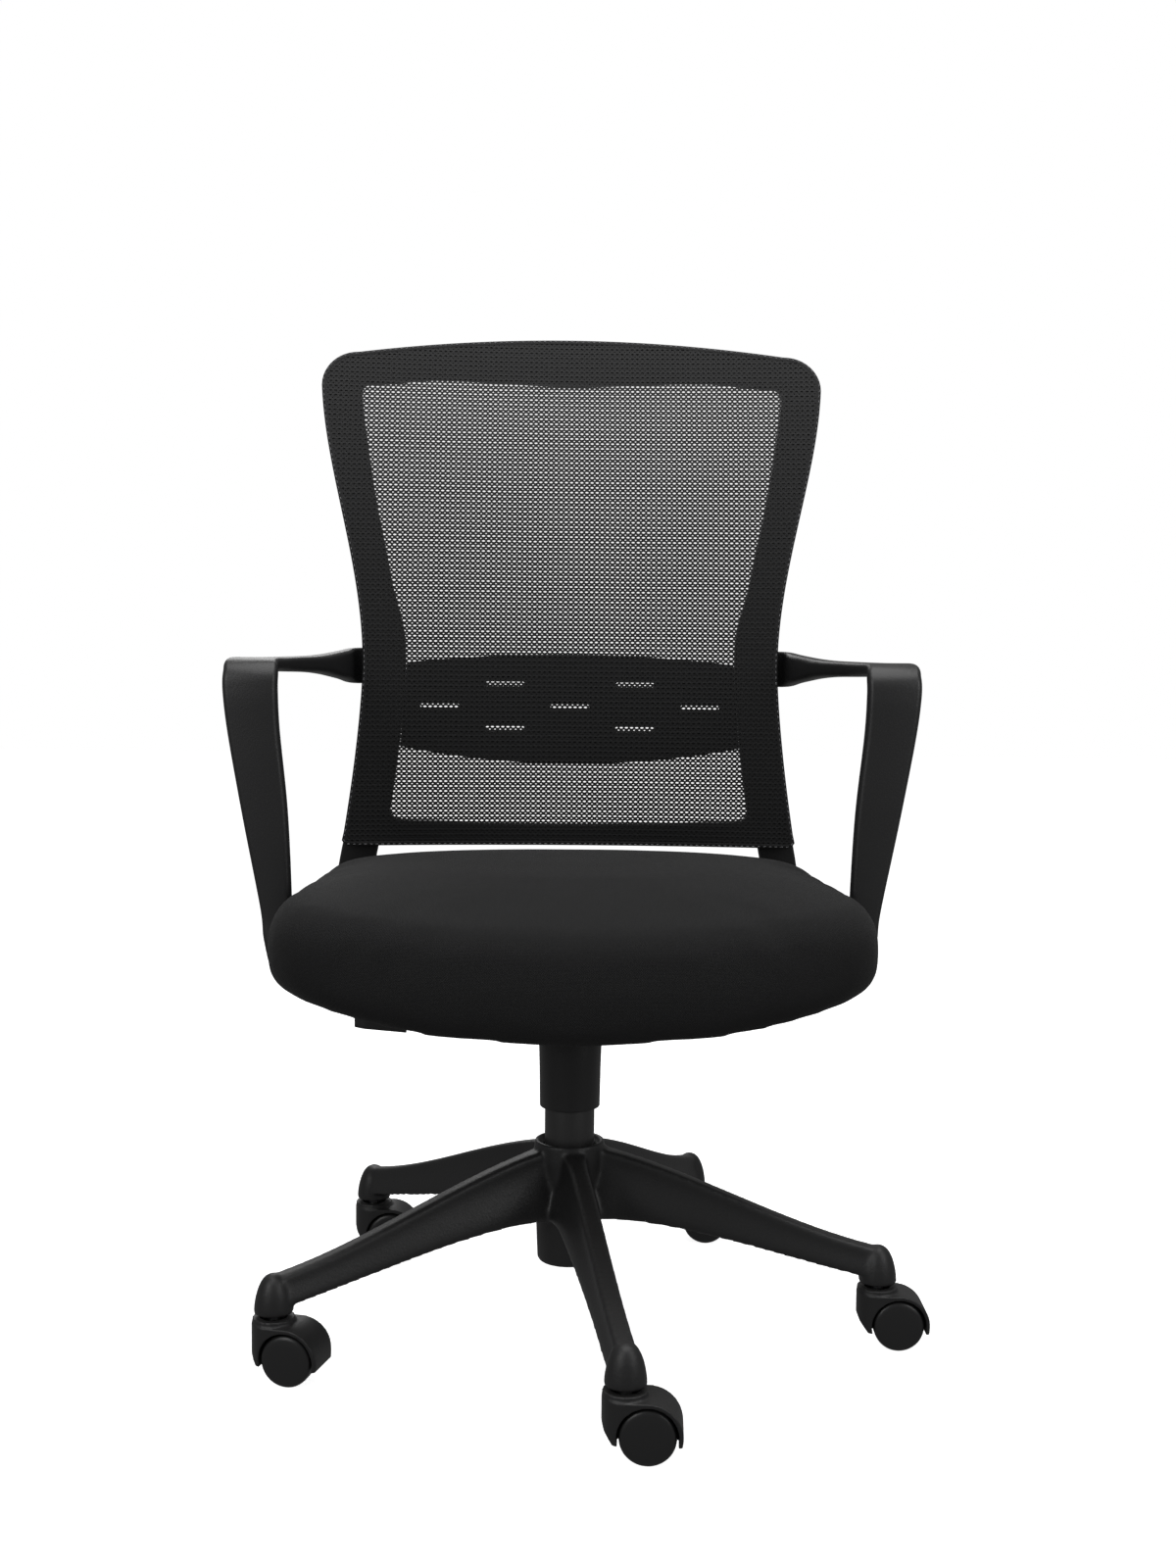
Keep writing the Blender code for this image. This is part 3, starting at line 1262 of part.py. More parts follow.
def rounded_section(half_wide, half_tall, radius):
    """A rectangle about the origin with a rounded corner at each of its four ends."""
    points = []
    for sx, sy, start in ((1, 1, 0), (-1, 1, 90), (-1, -1, 180), (1, -1, 270)):
        corner = (sx * (half_wide - radius), sy * (half_tall - radius))
        points += arc(corner, radius, start, start + 90, 2)
    return points


def arm(name, side, mat, tilt):
    path = smooth_path(arm_stations(), 2)
    rings = []
    for i, (centre, hint, wide, tall) in enumerate(path):
        along = (path[min(i + 1, len(path) - 1)][0] - path[max(i - 1, 0)][0]).normalized()
        if i == len(path) - 1:
            along = Vector((-1.0, 0.0, 0.0))
        if i < 2:
            across = Vector((-hint.y, hint.x, 0.0))
        else:
            across = (hint - along * hint.dot(along)).normalized()
        up = along.cross(across).normalized() if i >= 2 else Vector((0.0, 0.0, 1.0))
        a, b = wide / 2, tall / 2
        outline = rounded_section(a, b, min(a, b) * 0.55)
        ring_points = [centre + across * u + up * v for u, v in outline]
        rings.append([Vector((side * p.x, p.y, p.z)) for p in ring_points])
    part = add_part(name, loft(rings), mat)
    foot_holes = []
    for number, (x, y) in enumerate(ARM_BOLTS, 1):
        if x * side > 0:
            hole = prism(circle((x, y), BOLT_RADIUS + GAP, 10), SHELL_BOTTOM - 0.02, SHELL_BOTTOM + 0.002)
            foot_holes.append(tool(f"{name}_hole_{number}", hole))
    above_pad = prism(rectangle(side * 0.25, side * 0.37, -0.05, PAD_FLAT_REAR), ARM_HEIGHT, ARM_HEIGHT + 0.03)
    combine(part, "DIFFERENCE", foot_holes + [tool(f"{name}_pad_flat", above_pad)])
    hang_baked(part, tilt)


def build():
    clear_scene()
    nylon = material("black_nylon", (0.030, 0.030, 0.032), 0.48)
    tread = material("caster_tread", (0.022, 0.022, 0.023), 0.42)
    black_steel = material("black_steel", (0.030, 0.030, 0.031), 0.38, 0.6)
    bright = material("bright_steel", (0.62, 0.62, 0.64), 0.25, 1.0)
    brass = material("bearing_brass", (0.70, 0.55, 0.28), 0.35, 1.0)
    plywood = material("plywood", (0.55, 0.40, 0.24), 0.70)
    seat_fabric = material("seat_fabric", (0.018, 0.018, 0.019), 0.90)
    mesh_fabric = material("mesh_fabric", (0.025, 0.025, 0.026), 0.80)

    spindle = pivot("swivel_axis")
    lift = pivot("lift_axis", parent=spindle)
    tilt = pivot("tilt_axis", (0.0, PIN_Y, PIN_Z), parent=lift)
    lever_axis = pivot("lever_axis", (-HOUSING_HALF + HOUSING_WALL / 2, 0.0, LEVER_Z), parent=lift)

    star_base(nylon)
    column_tube(black_steel)
    column_parts(nylon, black_steel, bright, brass, spindle, lift)
    casters(nylon, tread, bright)
    mechanism_housing(black_steel, lift)
    valve_pin(bright, lift)
    tilt_pin(bright, lift)
    tilt_spring(black_steel, lift)
    lever(black_steel, nylon, lever_axis)
    top_plate(black_steel, tilt)
    seat_shell(nylon, tilt)
    seat_board(plywood, tilt)
    seat_cushion(seat_fabric, tilt)
    bolts(bright, tilt)
    back_frame(nylon, tilt)
    lumbar_plate(nylon, tilt)
    back_mesh(mesh_fabric, tilt)
    arm("arm_left", 1, nylon, tilt)
    arm("arm_right", -1, nylon, tilt)


build()
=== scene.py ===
# %% [markdown]
# # A mesh-backed office chair
# The CAD frame holds every part at its real size and on its real joints. This lesson dresses it: each
# visible part is rebuilt with the roundness, texture and stitching of the real one, then told which CAD
# body it moves with. Everything is in metres, the floor is z = 0, and the sitter faces -Y.

# %% Open the frame
import math

import bmesh
import bpy
import numpy as np
from mathutils import Matrix, Vector


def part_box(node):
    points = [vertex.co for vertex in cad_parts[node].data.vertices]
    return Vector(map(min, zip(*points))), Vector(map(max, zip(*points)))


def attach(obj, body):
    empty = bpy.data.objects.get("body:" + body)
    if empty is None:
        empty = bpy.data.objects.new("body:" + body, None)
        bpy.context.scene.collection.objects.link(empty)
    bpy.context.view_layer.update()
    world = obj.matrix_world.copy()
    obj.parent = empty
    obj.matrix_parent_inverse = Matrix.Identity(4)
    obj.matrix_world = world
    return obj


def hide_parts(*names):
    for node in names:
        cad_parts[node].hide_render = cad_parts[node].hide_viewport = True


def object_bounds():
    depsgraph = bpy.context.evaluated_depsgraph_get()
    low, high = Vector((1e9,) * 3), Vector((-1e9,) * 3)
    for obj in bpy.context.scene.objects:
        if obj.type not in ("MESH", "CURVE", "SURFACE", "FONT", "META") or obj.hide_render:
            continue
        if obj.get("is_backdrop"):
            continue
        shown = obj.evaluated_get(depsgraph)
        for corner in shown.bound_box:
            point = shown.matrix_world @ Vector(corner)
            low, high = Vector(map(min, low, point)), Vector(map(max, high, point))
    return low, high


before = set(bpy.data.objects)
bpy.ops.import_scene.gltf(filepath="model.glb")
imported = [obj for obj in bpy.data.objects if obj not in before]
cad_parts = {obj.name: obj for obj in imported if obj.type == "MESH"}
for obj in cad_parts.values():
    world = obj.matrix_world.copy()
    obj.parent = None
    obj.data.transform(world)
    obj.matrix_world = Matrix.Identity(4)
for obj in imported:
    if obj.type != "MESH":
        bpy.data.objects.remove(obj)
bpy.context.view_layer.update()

# %% [markdown]
# ## Camera and studio
# The chair is seen from the front at the height of its arms, turned a little. A big soft light above
# gives the pale sheen that flat black plastic shows on its upper faces, and a white room keeps the
# shadows small. The picture is shown without a film curve, so that white stays white.

# %% Camera
camera_place = Vector((-0.0334, -1.8478, 0.7007))
camera_pan, camera_pitch, camera_roll = (math.radians(d) for d in (1.507, 4.605, 0.569))

ahead = Vector((math.sin(camera_pan) * math.cos(camera_pitch),
                math.cos(camera_pan) * math.cos(camera_pitch), -math.sin(camera_pitch)))
level = Vector((math.cos(camera_pan), -math.sin(camera_pan), 0.0))
above = level.cross(ahead)
right = level * math.cos(camera_roll) + above * math.sin(camera_roll)
up = above * math.cos(camera_roll) - level * math.sin(camera_roll)

camera_data = bpy.data.cameras.new("camera")
camera_data.lens, camera_data.sensor_width, camera_data.sensor_fit = 42.83, 36.0, "AUTO"
camera = bpy.data.objects.new("camera", camera_data)
camera_turn = Matrix((right, up, -ahead)).transposed()
camera.matrix_world = Matrix.Translation(camera_place) @ camera_turn.to_4x4()
bpy.context.scene.collection.objects.link(camera)
bpy.context.scene.camera = camera
print("camera lens", camera_data.lens, "mm")

# %% Lights
scene = bpy.context.scene
scene.view_settings.view_transform = "Standard"
scene.world = bpy.data.worlds.new("white_room")
scene.world.use_nodes = True
sky = scene.world.node_tree
sky.nodes["Background"].inputs["Color"].default_value = (1.0, 1.0, 1.0, 1.0)
seen = sky.nodes.new("ShaderNodeMapRange")
seen.inputs["To Min"].default_value, seen.inputs["To Max"].default_value = 0.20, 1.0
sky.links.new(sky.nodes.new("ShaderNodeLightPath").outputs["Is Camera Ray"], seen.inputs["Value"])
sky.links.new(seen.outputs["Result"], sky.nodes["Background"].inputs["Strength"])


def softbox(name, place, target, width, height, power):
    lamp = bpy.data.lights.new(name, "AREA")
    lamp.shape, lamp.size, lamp.size_y, lamp.energy = "RECTANGLE", width, height, power
    made = bpy.data.objects.new(name, lamp)
    made.location = place
    made.rotation_euler = (Vector(target) - Vector(place)).to_track_quat("-Z", "Y").to_euler()
    scene.collection.objects.link(made)


softbox("overhead", (0.1, -0.3, 2.6), (0.0, 0.0, 0.4), 2.2, 2.2, 42)
softbox("front_left", (-1.8, -2.0, 1.7), (0.0, 0.0, 0.5), 1.0, 1.4, 20)
softbox("front_right", (1.9, -1.6, 1.5), (0.0, 0.0, 0.5), 0.8, 1.4, 14)
softbox("behind", (-0.6, 2.3, 1.9), (0.0, 0.0, 0.6), 1.2, 1.2, 14)

# %% [markdown]
# ## Small mesh tools
# Most parts are one of three things: a section carried through a row of places (a loft), a profile turned
# about an axis, or an outline pushed straight through (a prism). Each tool returns a bmesh, and `piece`
# turns it into an object whose place is in its vertices.

# %% Mesh tools


def loft(rings, loop=False):
    """A skin through rings of points. The ends are capped, unless the rings close into a loop."""
    bm = bmesh.new()
    rows = [[bm.verts.new(point) for point in ring] for ring in rings]
    pairs = list(zip(rows, rows[1:]))
    if loop:
        pairs.append((rows[-1], rows[0]))
    for low, high in pairs:
        for i in range(len(low)):
            j = (i + 1) % len(low)
            bm.faces.new((low[i], low[j], high[j], high[i]))
    if not loop:
        bm.faces.new(rows[0][::-1])
        bm.faces.new(rows[-1])
    return bm


def turned(profile, sides, place=(0.0, 0.0, 0.0)):
    """(radius, height) points turned about an upright axis. A profile off the axis closes into a ring."""
    bm = bmesh.new()
    rows = []
    for radius, height in profile:
        count = sides if radius > 1e-7 else 1
        turns = [2 * math.pi * i / sides for i in range(count)]
        rows.append([bm.verts.new((place[0] + radius * math.cos(a), place[1] + radius * math.sin(a),
                                   place[2] + height)) for a in turns])
    pairs = list(zip(rows, rows[1:]))
    if len(rows[0]) > 1 and len(rows[-1]) > 1:
        pairs.append((rows[-1], rows[0]))
    for low, high in pairs:
        for i in range(sides):
            j = (i + 1) % sides
            around = [low[i % len(low)], low[j % len(low)], high[j % len(high)], high[i % len(high)]]
            bm.faces.new(list(dict.fromkeys(around)))
    return bm


def prism(outline, start, end, axis="Z"):
    """An outline carried along an axis. Its points are (x, z) on Y and (x, y) on Z."""
    return loft([[(a, b, d) if axis == "Z" else (a, d, b) for a, b in outline] for d in (start, end)])


def arc(centre, radius, start, end, steps):
    turns = [math.radians(start + (end - start) * i / steps) for i in range(steps + 1)]
    return [(centre[0] + radius * math.cos(a), centre[1] + radius * math.sin(a)) for a in turns]


def rounded_box(wide, tall, radius, steps=4):
    """A rectangle about the origin, from its half sizes, with round corners."""
    points = []
    for sx, sy, start in ((1, 1, 0), (-1, 1, 90), (-1, -1, 180), (1, -1, 270)):
        points += arc((sx * (wide - radius), sy * (tall - radius)), radius, start, start + 90, steps)
    return points


def through(stations, steps):
    """Rows of numbers between the given rows, on a smooth curve through them."""
    rows = np.array(stations, float)
    padded_rows = np.vstack([2 * rows[0] - rows[1], rows, 2 * rows[-1] - rows[-2]])
    out = []
    for i in range(1, len(rows)):
        a, b, c, d = padded_rows[i - 1:i + 3]
        for t in np.arange(steps) / steps:
            out.append(b + (c - a) * t / 2 + (2 * a - 5 * b + 4 * c - d) * t**2 / 2
                       + (3 * b - a - 3 * c + d) * t**3 / 2)
    return out + [rows[-1]]


def ease(share):
    share = min(max(share, 0.0), 1.0)
    return share * share * (3 - 2 * share)


def piece(name, bm, finish=None, sharp=35.0):
    """An object from a bmesh, with its faces pointing out and shaded smooth up to a sharp angle."""
    bmesh.ops.recalc_face_normals(bm, faces=bm.faces)
    mesh = bpy.data.meshes.new(name)
    bm.to_mesh(mesh)
    bm.free()
    mesh.shade_smooth()
    mesh.set_sharp_from_angle(angle=math.radians(sharp))
    if finish:
        mesh.materials.append(finish)
    made = bpy.data.objects.new(name, mesh)
    scene.collection.objects.link(made)
    return made


def baked(made):
    """The object with its modifiers worked into its mesh."""
    graph = bpy.context.evaluated_depsgraph_get()
    mesh = bpy.data.meshes.new_from_object(made.evaluated_get(graph))
    made.modifiers.clear()
    old, made.data = made.data, mesh
    bpy.data.meshes.remove(old)
    mesh.name = made.name
    return made


def combined(made, operation, others):
    for other in others:
        change = made.modifiers.new("boolean", "BOOLEAN")
        change.operation, change.solver, change.object = operation, "EXACT", other
    baked(made)
    for other in others:
        bpy.data.objects.remove(other)


def softened(made, voxel, rounds):
    """Rounds every edge as a mould does: an even skin of small squares, then a few rounds of smoothing."""
    skin = made.modifiers.new("skin", "REMESH")
    skin.mode, skin.voxel_size = "VOXEL", voxel
    smooth = made.modifiers.new("smooth", "SMOOTH")
    smooth.iterations, smooth.factor = rounds, 0.5
    baked(made)
    made.data.shade_smooth()


def dress(made, body, slot, *nodes):
    """Tells the frame what a piece rides on and which CAD nodes it stands for. Its slot is not used."""
    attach(made, body)
    if nodes:
        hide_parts(*nodes)
    made.data.calc_loop_triangles()
    print(f"{made.name}: {len(made.data.loop_triangles)} triangles on {body}")


# %% [markdown]
# ## Shader maths as plain sums
# A finish is a tree of nodes. Wrapping a socket in a small class lets a pattern be written as a sum or a
# product, and one `add` call makes any other node, so each finish below stays readable.

# %% A socket that can be added and multiplied


class Wire:
    """A socket's value in a material's tree."""

    def __init__(self, tree, socket):
        self.tree, self.socket = tree, socket

    def maths(self, operation, *others):
        return add(self.tree, "ShaderNodeMath", {"operation": operation}, dict(enumerate((self, *others))))

    def __add__(self, other):
        return self.maths("ADD", other)

    def __sub__(self, other):
        return self.maths("SUBTRACT", other)

    def __mul__(self, other):
        return self.maths("MULTIPLY", other)

    def __rsub__(self, other):
        return add(self.tree, "ShaderNodeMath", {"operation": "SUBTRACT"}, {0: other, 1: self})

    __radd__, __rmul__ = __add__, __mul__


def add(tree, kind, settings=None, inputs=None, output=0):
    """Makes a node, sets it, feeds its sockets and returns the wire of one output."""
    node = tree.nodes.new(kind)
    for key, value in (settings or {}).items():
        if key == "stops":
            for place, (where, grey) in enumerate(value):
                stop = node.color_ramp.elements[place] if place < 2 else node.color_ramp.elements.new(where)
                stop.position, stop.color = where, (grey, grey, grey, 1.0)
        else:
            setattr(node, key, value)
    for key, value in (inputs or {}).items():
        if isinstance(value, Wire):
            tree.links.new(value.socket, node.inputs[key])
        else:
            node.inputs[key].default_value = value
    return Wire(tree, node.outputs[output])


class Finish:
    """A material whose Principled shader is fed by wires."""

    def __init__(self, name, colour, roughness, metallic=0.0, specular=0.5):
        self.material = bpy.data.materials.new(name)
        self.material.use_nodes = True
        self.material.diffuse_color = (*colour, 1.0)
        self.tree = self.material.node_tree
        self.shader = self.tree.nodes["Principled BSDF"]
        self.colour = colour
        for key, value in (("Base Color", (*colour, 1.0)), ("Roughness", roughness),
                           ("Metallic", metallic), ("Specular IOR Level", specular)):
            self.shader.inputs[key].default_value = value
        self.place = self.add("ShaderNodeTexCoord", output="Object")

    def add(self, kind, settings=None, inputs=None, output=0):
        return add(self.tree, kind, settings, inputs, output)

    def noise(self, scale, detail=2.0, place=None):
        inputs = {"Vector": place or self.place, "Scale": scale, "Detail": detail}
        return self.add("ShaderNodeTexNoise", None, inputs)

    def ramp(self, wire, *stops):
        return self.add("ShaderNodeValToRGB", {"stops": stops}, {0: wire})

    def tint(self, amount, other):
        """Feeds Base Color with a mix of the finish's own colour and another one."""
        mixed = self.add("ShaderNodeMix", {"data_type": "RGBA"},
                         {"Factor": amount, 6: (*self.colour, 1.0), 7: (*other, 1.0)}, 2)
        self.feed("Base Color", mixed)

    def feed(self, socket, wire):
        self.tree.links.new(wire.socket, self.shader.inputs[socket])

    def bump(self, *layers):
        """Feeds Normal with bumps, each (height wire, depth in metres)."""
        normal = None
        for height, depth in layers:
            inputs = {"Height": height, "Distance": depth, "Strength": 1.0}
            if normal:
                inputs["Normal"] = normal
            normal = self.add("ShaderNodeBump", None, inputs)
        self.feed("Normal", normal)


# %% [markdown]
# ## Moulded plastics
# The base, hoods, frame and arms are black nylon. Its skin comes from an eroded mould: a fine even grain
# that turns a reflection into a soft grey sheen. Faces that look up are tinted paler in patches, partly as faint
# dust and partly as a painted sheen of the light from above. Handling polishes some places, and the arms have
# a finer, slightly softer skin than the base.

# %% Moulded plastics


def moulded(name, grey, roughness, grain, depth, dust_and_sheen):
    made = Finish(name, (grey, grey, grey * 1.04), roughness)
    patches = made.noise(9.0, 3.0)
    fine = made.noise(grain, 2.0)
    facing = made.add("ShaderNodeSeparateXYZ", None, {0: made.add("ShaderNodeTexCoord", output="Normal")}, 2)
    upward = made.ramp(facing, (0.55, 0.0), (1.0, 1.0))
    # Paler tint on faces that look up: partly faint dust, partly a painted sheen of the overhead light.
    made.tint(upward * made.ramp(patches, (0.3, 0.45), (0.7, 1.0)) * dust_and_sheen, (0.16, 0.155, 0.15))
    made.feed("Roughness", patches * 0.10 + fine * 0.08 + (roughness - 0.09))
    made.bump((fine, depth), (made.noise(grain * 0.28, 1.0), depth * 1.6))
    return made.material


base_nylon = moulded("base_nylon", 0.011, 0.46, 1500.0, 0.00009, 0.10)
arm_skin = moulded("arm_skin", 0.012, 0.42, 1900.0, 0.00006, 0.16)
frame_nylon = moulded("frame_nylon", 0.008, 0.52, 1500.0, 0.00009, 0.08)
wheel_tread = moulded("wheel_tread", 0.011, 0.36, 2600.0, 0.00003, 0.06)
print("plastics", base_nylon.name, arm_skin.name, frame_nylon.name, wheel_tread.name)

# %% [markdown]
# ## Metals and wood
# Hidden parts are finished too, because the chair is looked at from below. Painted steel has the slight
# waviness of baked powder, turned steel and brass have fine rings from the lathe, and the seat board shows
# its glued layers on its edge.

# %% Metals and wood


def metal(name, colour, roughness, ring_scale, depth):
    made = Finish(name, colour, roughness, 1.0)
    rings = made.add("ShaderNodeTexWave", {"bands_direction": "Z"},
                     {"Vector": made.place, "Scale": ring_scale, "Distortion": 0.4, "Detail": 2.0})
    smear = made.noise(60.0, 3.0)
    made.feed("Roughness", smear * 0.16 + rings * 0.05 + (roughness - 0.10))
    made.tint(smear * 0.35, tuple(c * 0.7 for c in colour))
    made.bump((rings, depth))
    return made.material


def painted(name, grey):
    made = Finish(name, (grey, grey, grey), 0.42)
    peel = made.noise(420.0, 2.0)
    made.feed("Roughness", peel * 0.14 + made.noise(30.0) * 0.10 + 0.30)
    made.tint(made.ramp(made.noise(14.0, 4.0), (0.55, 0.0), (0.8, 0.5)), (grey * 2.2, grey * 2.2, grey * 2.1))
    made.bump((peel, 0.00012))
    return made.material


def layered_wood():
    made = Finish("layered_wood", (0.52, 0.37, 0.21), 0.68)
    stretched = made.add("ShaderNodeMapping", None, {"Vector": made.place, "Scale": (6.0, 90.0, 700.0)})
    grain = made.noise(4.0, 6.0, stretched)
    layers = made.add("ShaderNodeTexWave", {"bands_direction": "Z"},
                      {"Vector": made.place, "Scale": 105.0, "Distortion": 0.3})
    made.tint(grain * 0.5 + layers * 0.35, (0.25, 0.15, 0.075))
    made.feed("Roughness", grain * 0.2 + 0.55)
    made.bump((grain, 0.00015))
    return made.material


black_steel = painted("painted_steel", 0.012)
bright_steel = metal("turned_steel", (0.60, 0.60, 0.62), 0.28, 900.0, 0.00002)
brass = metal("brass", (0.72, 0.56, 0.28), 0.34, 700.0, 0.00002)
tube_paint = painted("tube_paint", 0.030)
plywood = layered_wood()
print("metals and wood", black_steel.name, bright_steel.name, brass.name, plywood.name)

# %% [markdown]
# ## Cloth
# The seat is a plain weave of coarse polyester yarn. The weave is worked out on each of the three
# directions and mixed by which way the surface faces, so that it never stretches. Each yarn goes over and
# under its neighbours, is a little hairy, and catches light at a grazing angle.

# %% Cloth
YARN_PITCH = 0.0011


def weave(made, along, across):
    """Height of a plain weave: two sets of round yarns that go over and under each other."""
    turns = 2 * math.pi / (2 * YARN_PITCH)
    a = (along * turns).maths("SINE")
    b = (across * turns).maths("SINE")
    return a.maths("ABSOLUTE").maths("MAXIMUM", b.maths("ABSOLUTE")) * 0.7 + a * b * 0.3


def woven(name, grey, sheen):
    made = Finish(name, (grey, grey, grey * 1.03), 0.92, specular=0.25)
    made.shader.inputs["Sheen Weight"].default_value = sheen
    made.shader.inputs["Sheen Roughness"].default_value = 0.4
    split = {"Vector": made.place}
    x, y, z = (made.add("ShaderNodeSeparateXYZ", None, split, axis) for axis in range(3))
    normal = {"Vector": made.add("ShaderNodeTexCoord", output="Normal")}
    nx, ny, nz = (made.add("ShaderNodeSeparateXYZ", None, normal, axis).maths("ABSOLUTE") for axis in range(3))
    share = nx + ny + nz + 0.0001
    height = (weave(made, x, y) * nz + weave(made, x, z) * ny + weave(made, y, z) * nx).maths("DIVIDE", share)
    hair = made.noise(5200.0, 2.0)
    patches = made.noise(26.0, 4.0)
    # The crests of the yarns are painted lighter than the gaps between them: a painted highlight and painted shade
    # in the weave.
    made.tint(made.ramp(height, (0.45, 0.0), (1.0, 0.55)) + hair * 0.18 + patches * 0.15,
              (grey * 3.6, grey * 3.6, grey * 3.7))
    made.feed("Roughness", hair * 0.10 + 0.86)
    made.bump((height, 0.00035), (hair, 0.00012))
    return made.material


def yarn(name, grey, roughness, scale):
    made = Finish(name, (grey, grey, grey * 1.03), roughness, specular=0.25)
    fibres = made.noise(scale, 3.0)
    made.tint(fibres * 0.8, (grey * 2.6, grey * 2.6, grey * 2.7))
    made.feed("Roughness", fibres * 0.15 + (roughness - 0.07))
    made.bump((fibres, 0.00008))
    return made.material


seat_cloth = woven("seat_cloth", 0.0055, 0.05)
net_yarn = yarn("net_yarn", 0.0075, 0.66, 2600.0)
hem_cloth = yarn("hem_cloth", 0.0085, 0.72, 1800.0)
stitch_thread = yarn("stitch_thread", 0.16, 0.70, 3200.0)
print("cloth", seat_cloth.name, net_yarn.name, hem_cloth.name, stitch_thread.name)

# %% [markdown]
# ## The star base
# The base is one nylon moulding: a hub that grips the column, five legs and a round dome over each caster.
# The legs are lofts whose ridge falls in a long S, the domes and the hub are turned, and all are joined.
# The joined solid is then given an even skin and smoothed a little, which leaves the small fillets that a
# mould leaves where a leg runs into the hub. Ribbed hollows under each leg keep the walls thin.

# %% Sizes of the base
tube_low, tube_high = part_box("column_tube")
TUBE_RADIUS = tube_high.x
BASE_RADIUS = 0.3100
LEG_COUNT = 5
FRONT_LEG_TURN = math.radians(8.2)
DOME_RADIUS = 0.0188
DOME_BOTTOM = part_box("star_base")[0].z
DOME_TOP = DOME_BOTTOM + 0.0375
HUB_BOTTOM = DOME_BOTTOM + 0.0050
HUB_TOP = HUB_BOTTOM + 0.1255
HUB_TOP_RADIUS, HUB_BOTTOM_RADIUS = TUBE_RADIUS + 0.010, TUBE_RADIUS + 0.005
LEG_WALL = 0.0042
leg_turns = [FRONT_LEG_TURN + 2 * math.pi * i / LEG_COUNT for i in range(LEG_COUNT)]
tips = [(BASE_RADIUS * math.sin(a), -BASE_RADIUS * math.cos(a)) for a in leg_turns]
print("caster stems at", [tuple(round(v, 3) for v in tip) for tip in tips])

# %% One leg's section at any distance from the column


def cubic(a, b, c, d, t):
    rest = 1 - t
    return a * rest**3 + 3 * b * rest**2 * t + 3 * c * rest * t**2 + d * t**3


def leg_shape(radius):
    """Top, bottom, and half widths of the ridge and the foot of a leg."""
    t = (radius - HUB_BOTTOM_RADIUS) / (BASE_RADIUS - HUB_BOTTOM_RADIUS)
    root, tip = HUB_TOP - 0.0075, DOME_TOP - 0.0025
    top = cubic(root, root - 0.019, tip + 0.017, tip, t)
    root, tip = root - 0.0690, DOME_BOTTOM + 0.0060
    bottom = cubic(root, root + 0.002, tip + 0.015, tip, t)
    flare = 0.004 * (1 - ease(t * 9))
    return top, bottom, 0.0095 + flare * 0.5, 0.0210 + (0.0150 - 0.0210) * ease(t * 1.2) + flare


def leg_section(radius):
    top, bottom, ridge, foot = leg_shape(radius)
    tall = top - bottom
    side = [(foot - 0.002, bottom), (foot, bottom + 0.002)]
    for t in np.linspace(0.06, 1.0, 9):
        side.append((foot + (ridge - foot) * ease(t * 1.05), bottom + 0.002 + (tall - 0.0065) * t))
    side += [(ridge - 0.0045 + 0.0045 * math.cos(a), top - 0.0045 + 0.0045 * math.sin(a))
             for a in (math.radians(d) for d in (20, 45, 70, 90))]
    return side + [(-y, z) for y, z in side[::-1]]


def leg_cell(radius):
    """The hollow inside a leg, whose wall has the same thickness all the way up."""
    top, bottom, ridge, foot = leg_shape(radius)
    side = [(foot + (ridge - foot) * ease(t * 1.05) - LEG_WALL, bottom - 0.004 + (top - bottom - 0.001) * t)
            for t in (0.0, 0.2, 0.4, 0.6, 0.8, 0.92)]
    return side + [(-y, z) for y, z in side[::-1]]


def along_leg(turn, radii, section):
    spin = Matrix.Rotation(turn, 3, "Z")
    return [[spin @ Vector((y, -radius, z)) for y, z in section(radius)] for radius in radii]


# %% Join the base and round its edges
hub_profile = [
    (TUBE_RADIUS + 0.0006, HUB_TOP - 0.0070), (HUB_TOP_RADIUS - 0.0050, HUB_TOP - 0.0060),
    (HUB_TOP_RADIUS - 0.0042, HUB_TOP - 0.0010), (HUB_TOP_RADIUS - 0.0020, HUB_TOP),
    (HUB_TOP_RADIUS, HUB_TOP - 0.0020), (HUB_TOP_RADIUS + 0.0010, HUB_TOP - 0.0200),
    (HUB_BOTTOM_RADIUS + 0.0035, HUB_BOTTOM + 0.0500), (HUB_BOTTOM_RADIUS + 0.0015, HUB_BOTTOM + 0.0030),
    (HUB_BOTTOM_RADIUS - 0.0010, HUB_BOTTOM), (TUBE_RADIUS - 0.0050, HUB_BOTTOM),
    (TUBE_RADIUS - 0.0050, HUB_BOTTOM + 0.0050), (TUBE_RADIUS + 0.0006, HUB_BOTTOM + 0.0052),
]
star = piece("star_base_moulding", turned(hub_profile, 96))
dome_height = DOME_TOP - DOME_BOTTOM
dome_profile = [(0.0, 0.0), (DOME_RADIUS - 0.001, 0.0), (DOME_RADIUS, 0.001)]
dome_profile += [(DOME_RADIUS * math.cos(a) ** 0.8, dome_height * math.sin(a) ** 1.15)
                 for a in np.radians(np.linspace(12, 84, 13))] + [(0.0, dome_height)]
CELLS, RIB = 4, 0.0022
first_cell, last_cell = HUB_TOP_RADIUS + 0.010, BASE_RADIUS - DOME_RADIUS - 0.008
cell_length = (last_cell - first_cell + RIB) / CELLS
solids, cuts = [], []
for turn, (tip_x, tip_y) in zip(leg_turns, tips):
    radii = np.linspace(TUBE_RADIUS + 0.003, BASE_RADIUS - 0.0070, 34)
    solids.append(piece("leg", loft(along_leg(turn, radii, leg_section))))
    solids.append(piece("dome", turned(dome_profile, 48, (tip_x, tip_y, DOME_BOTTOM))))
    for number in range(CELLS):
        start = first_cell + number * cell_length
        reach = np.linspace(start, start + cell_length - RIB, 6)
        cuts.append(piece("cell", loft(along_leg(turn, reach, leg_cell))))
combined(star, "UNION", solids)
combined(star, "DIFFERENCE", cuts)
softened(star, 0.0024, 4)
star.data.materials.clear()
star.data.materials.append(base_nylon)
dress(star, "base", "black_nylon", "star_base")

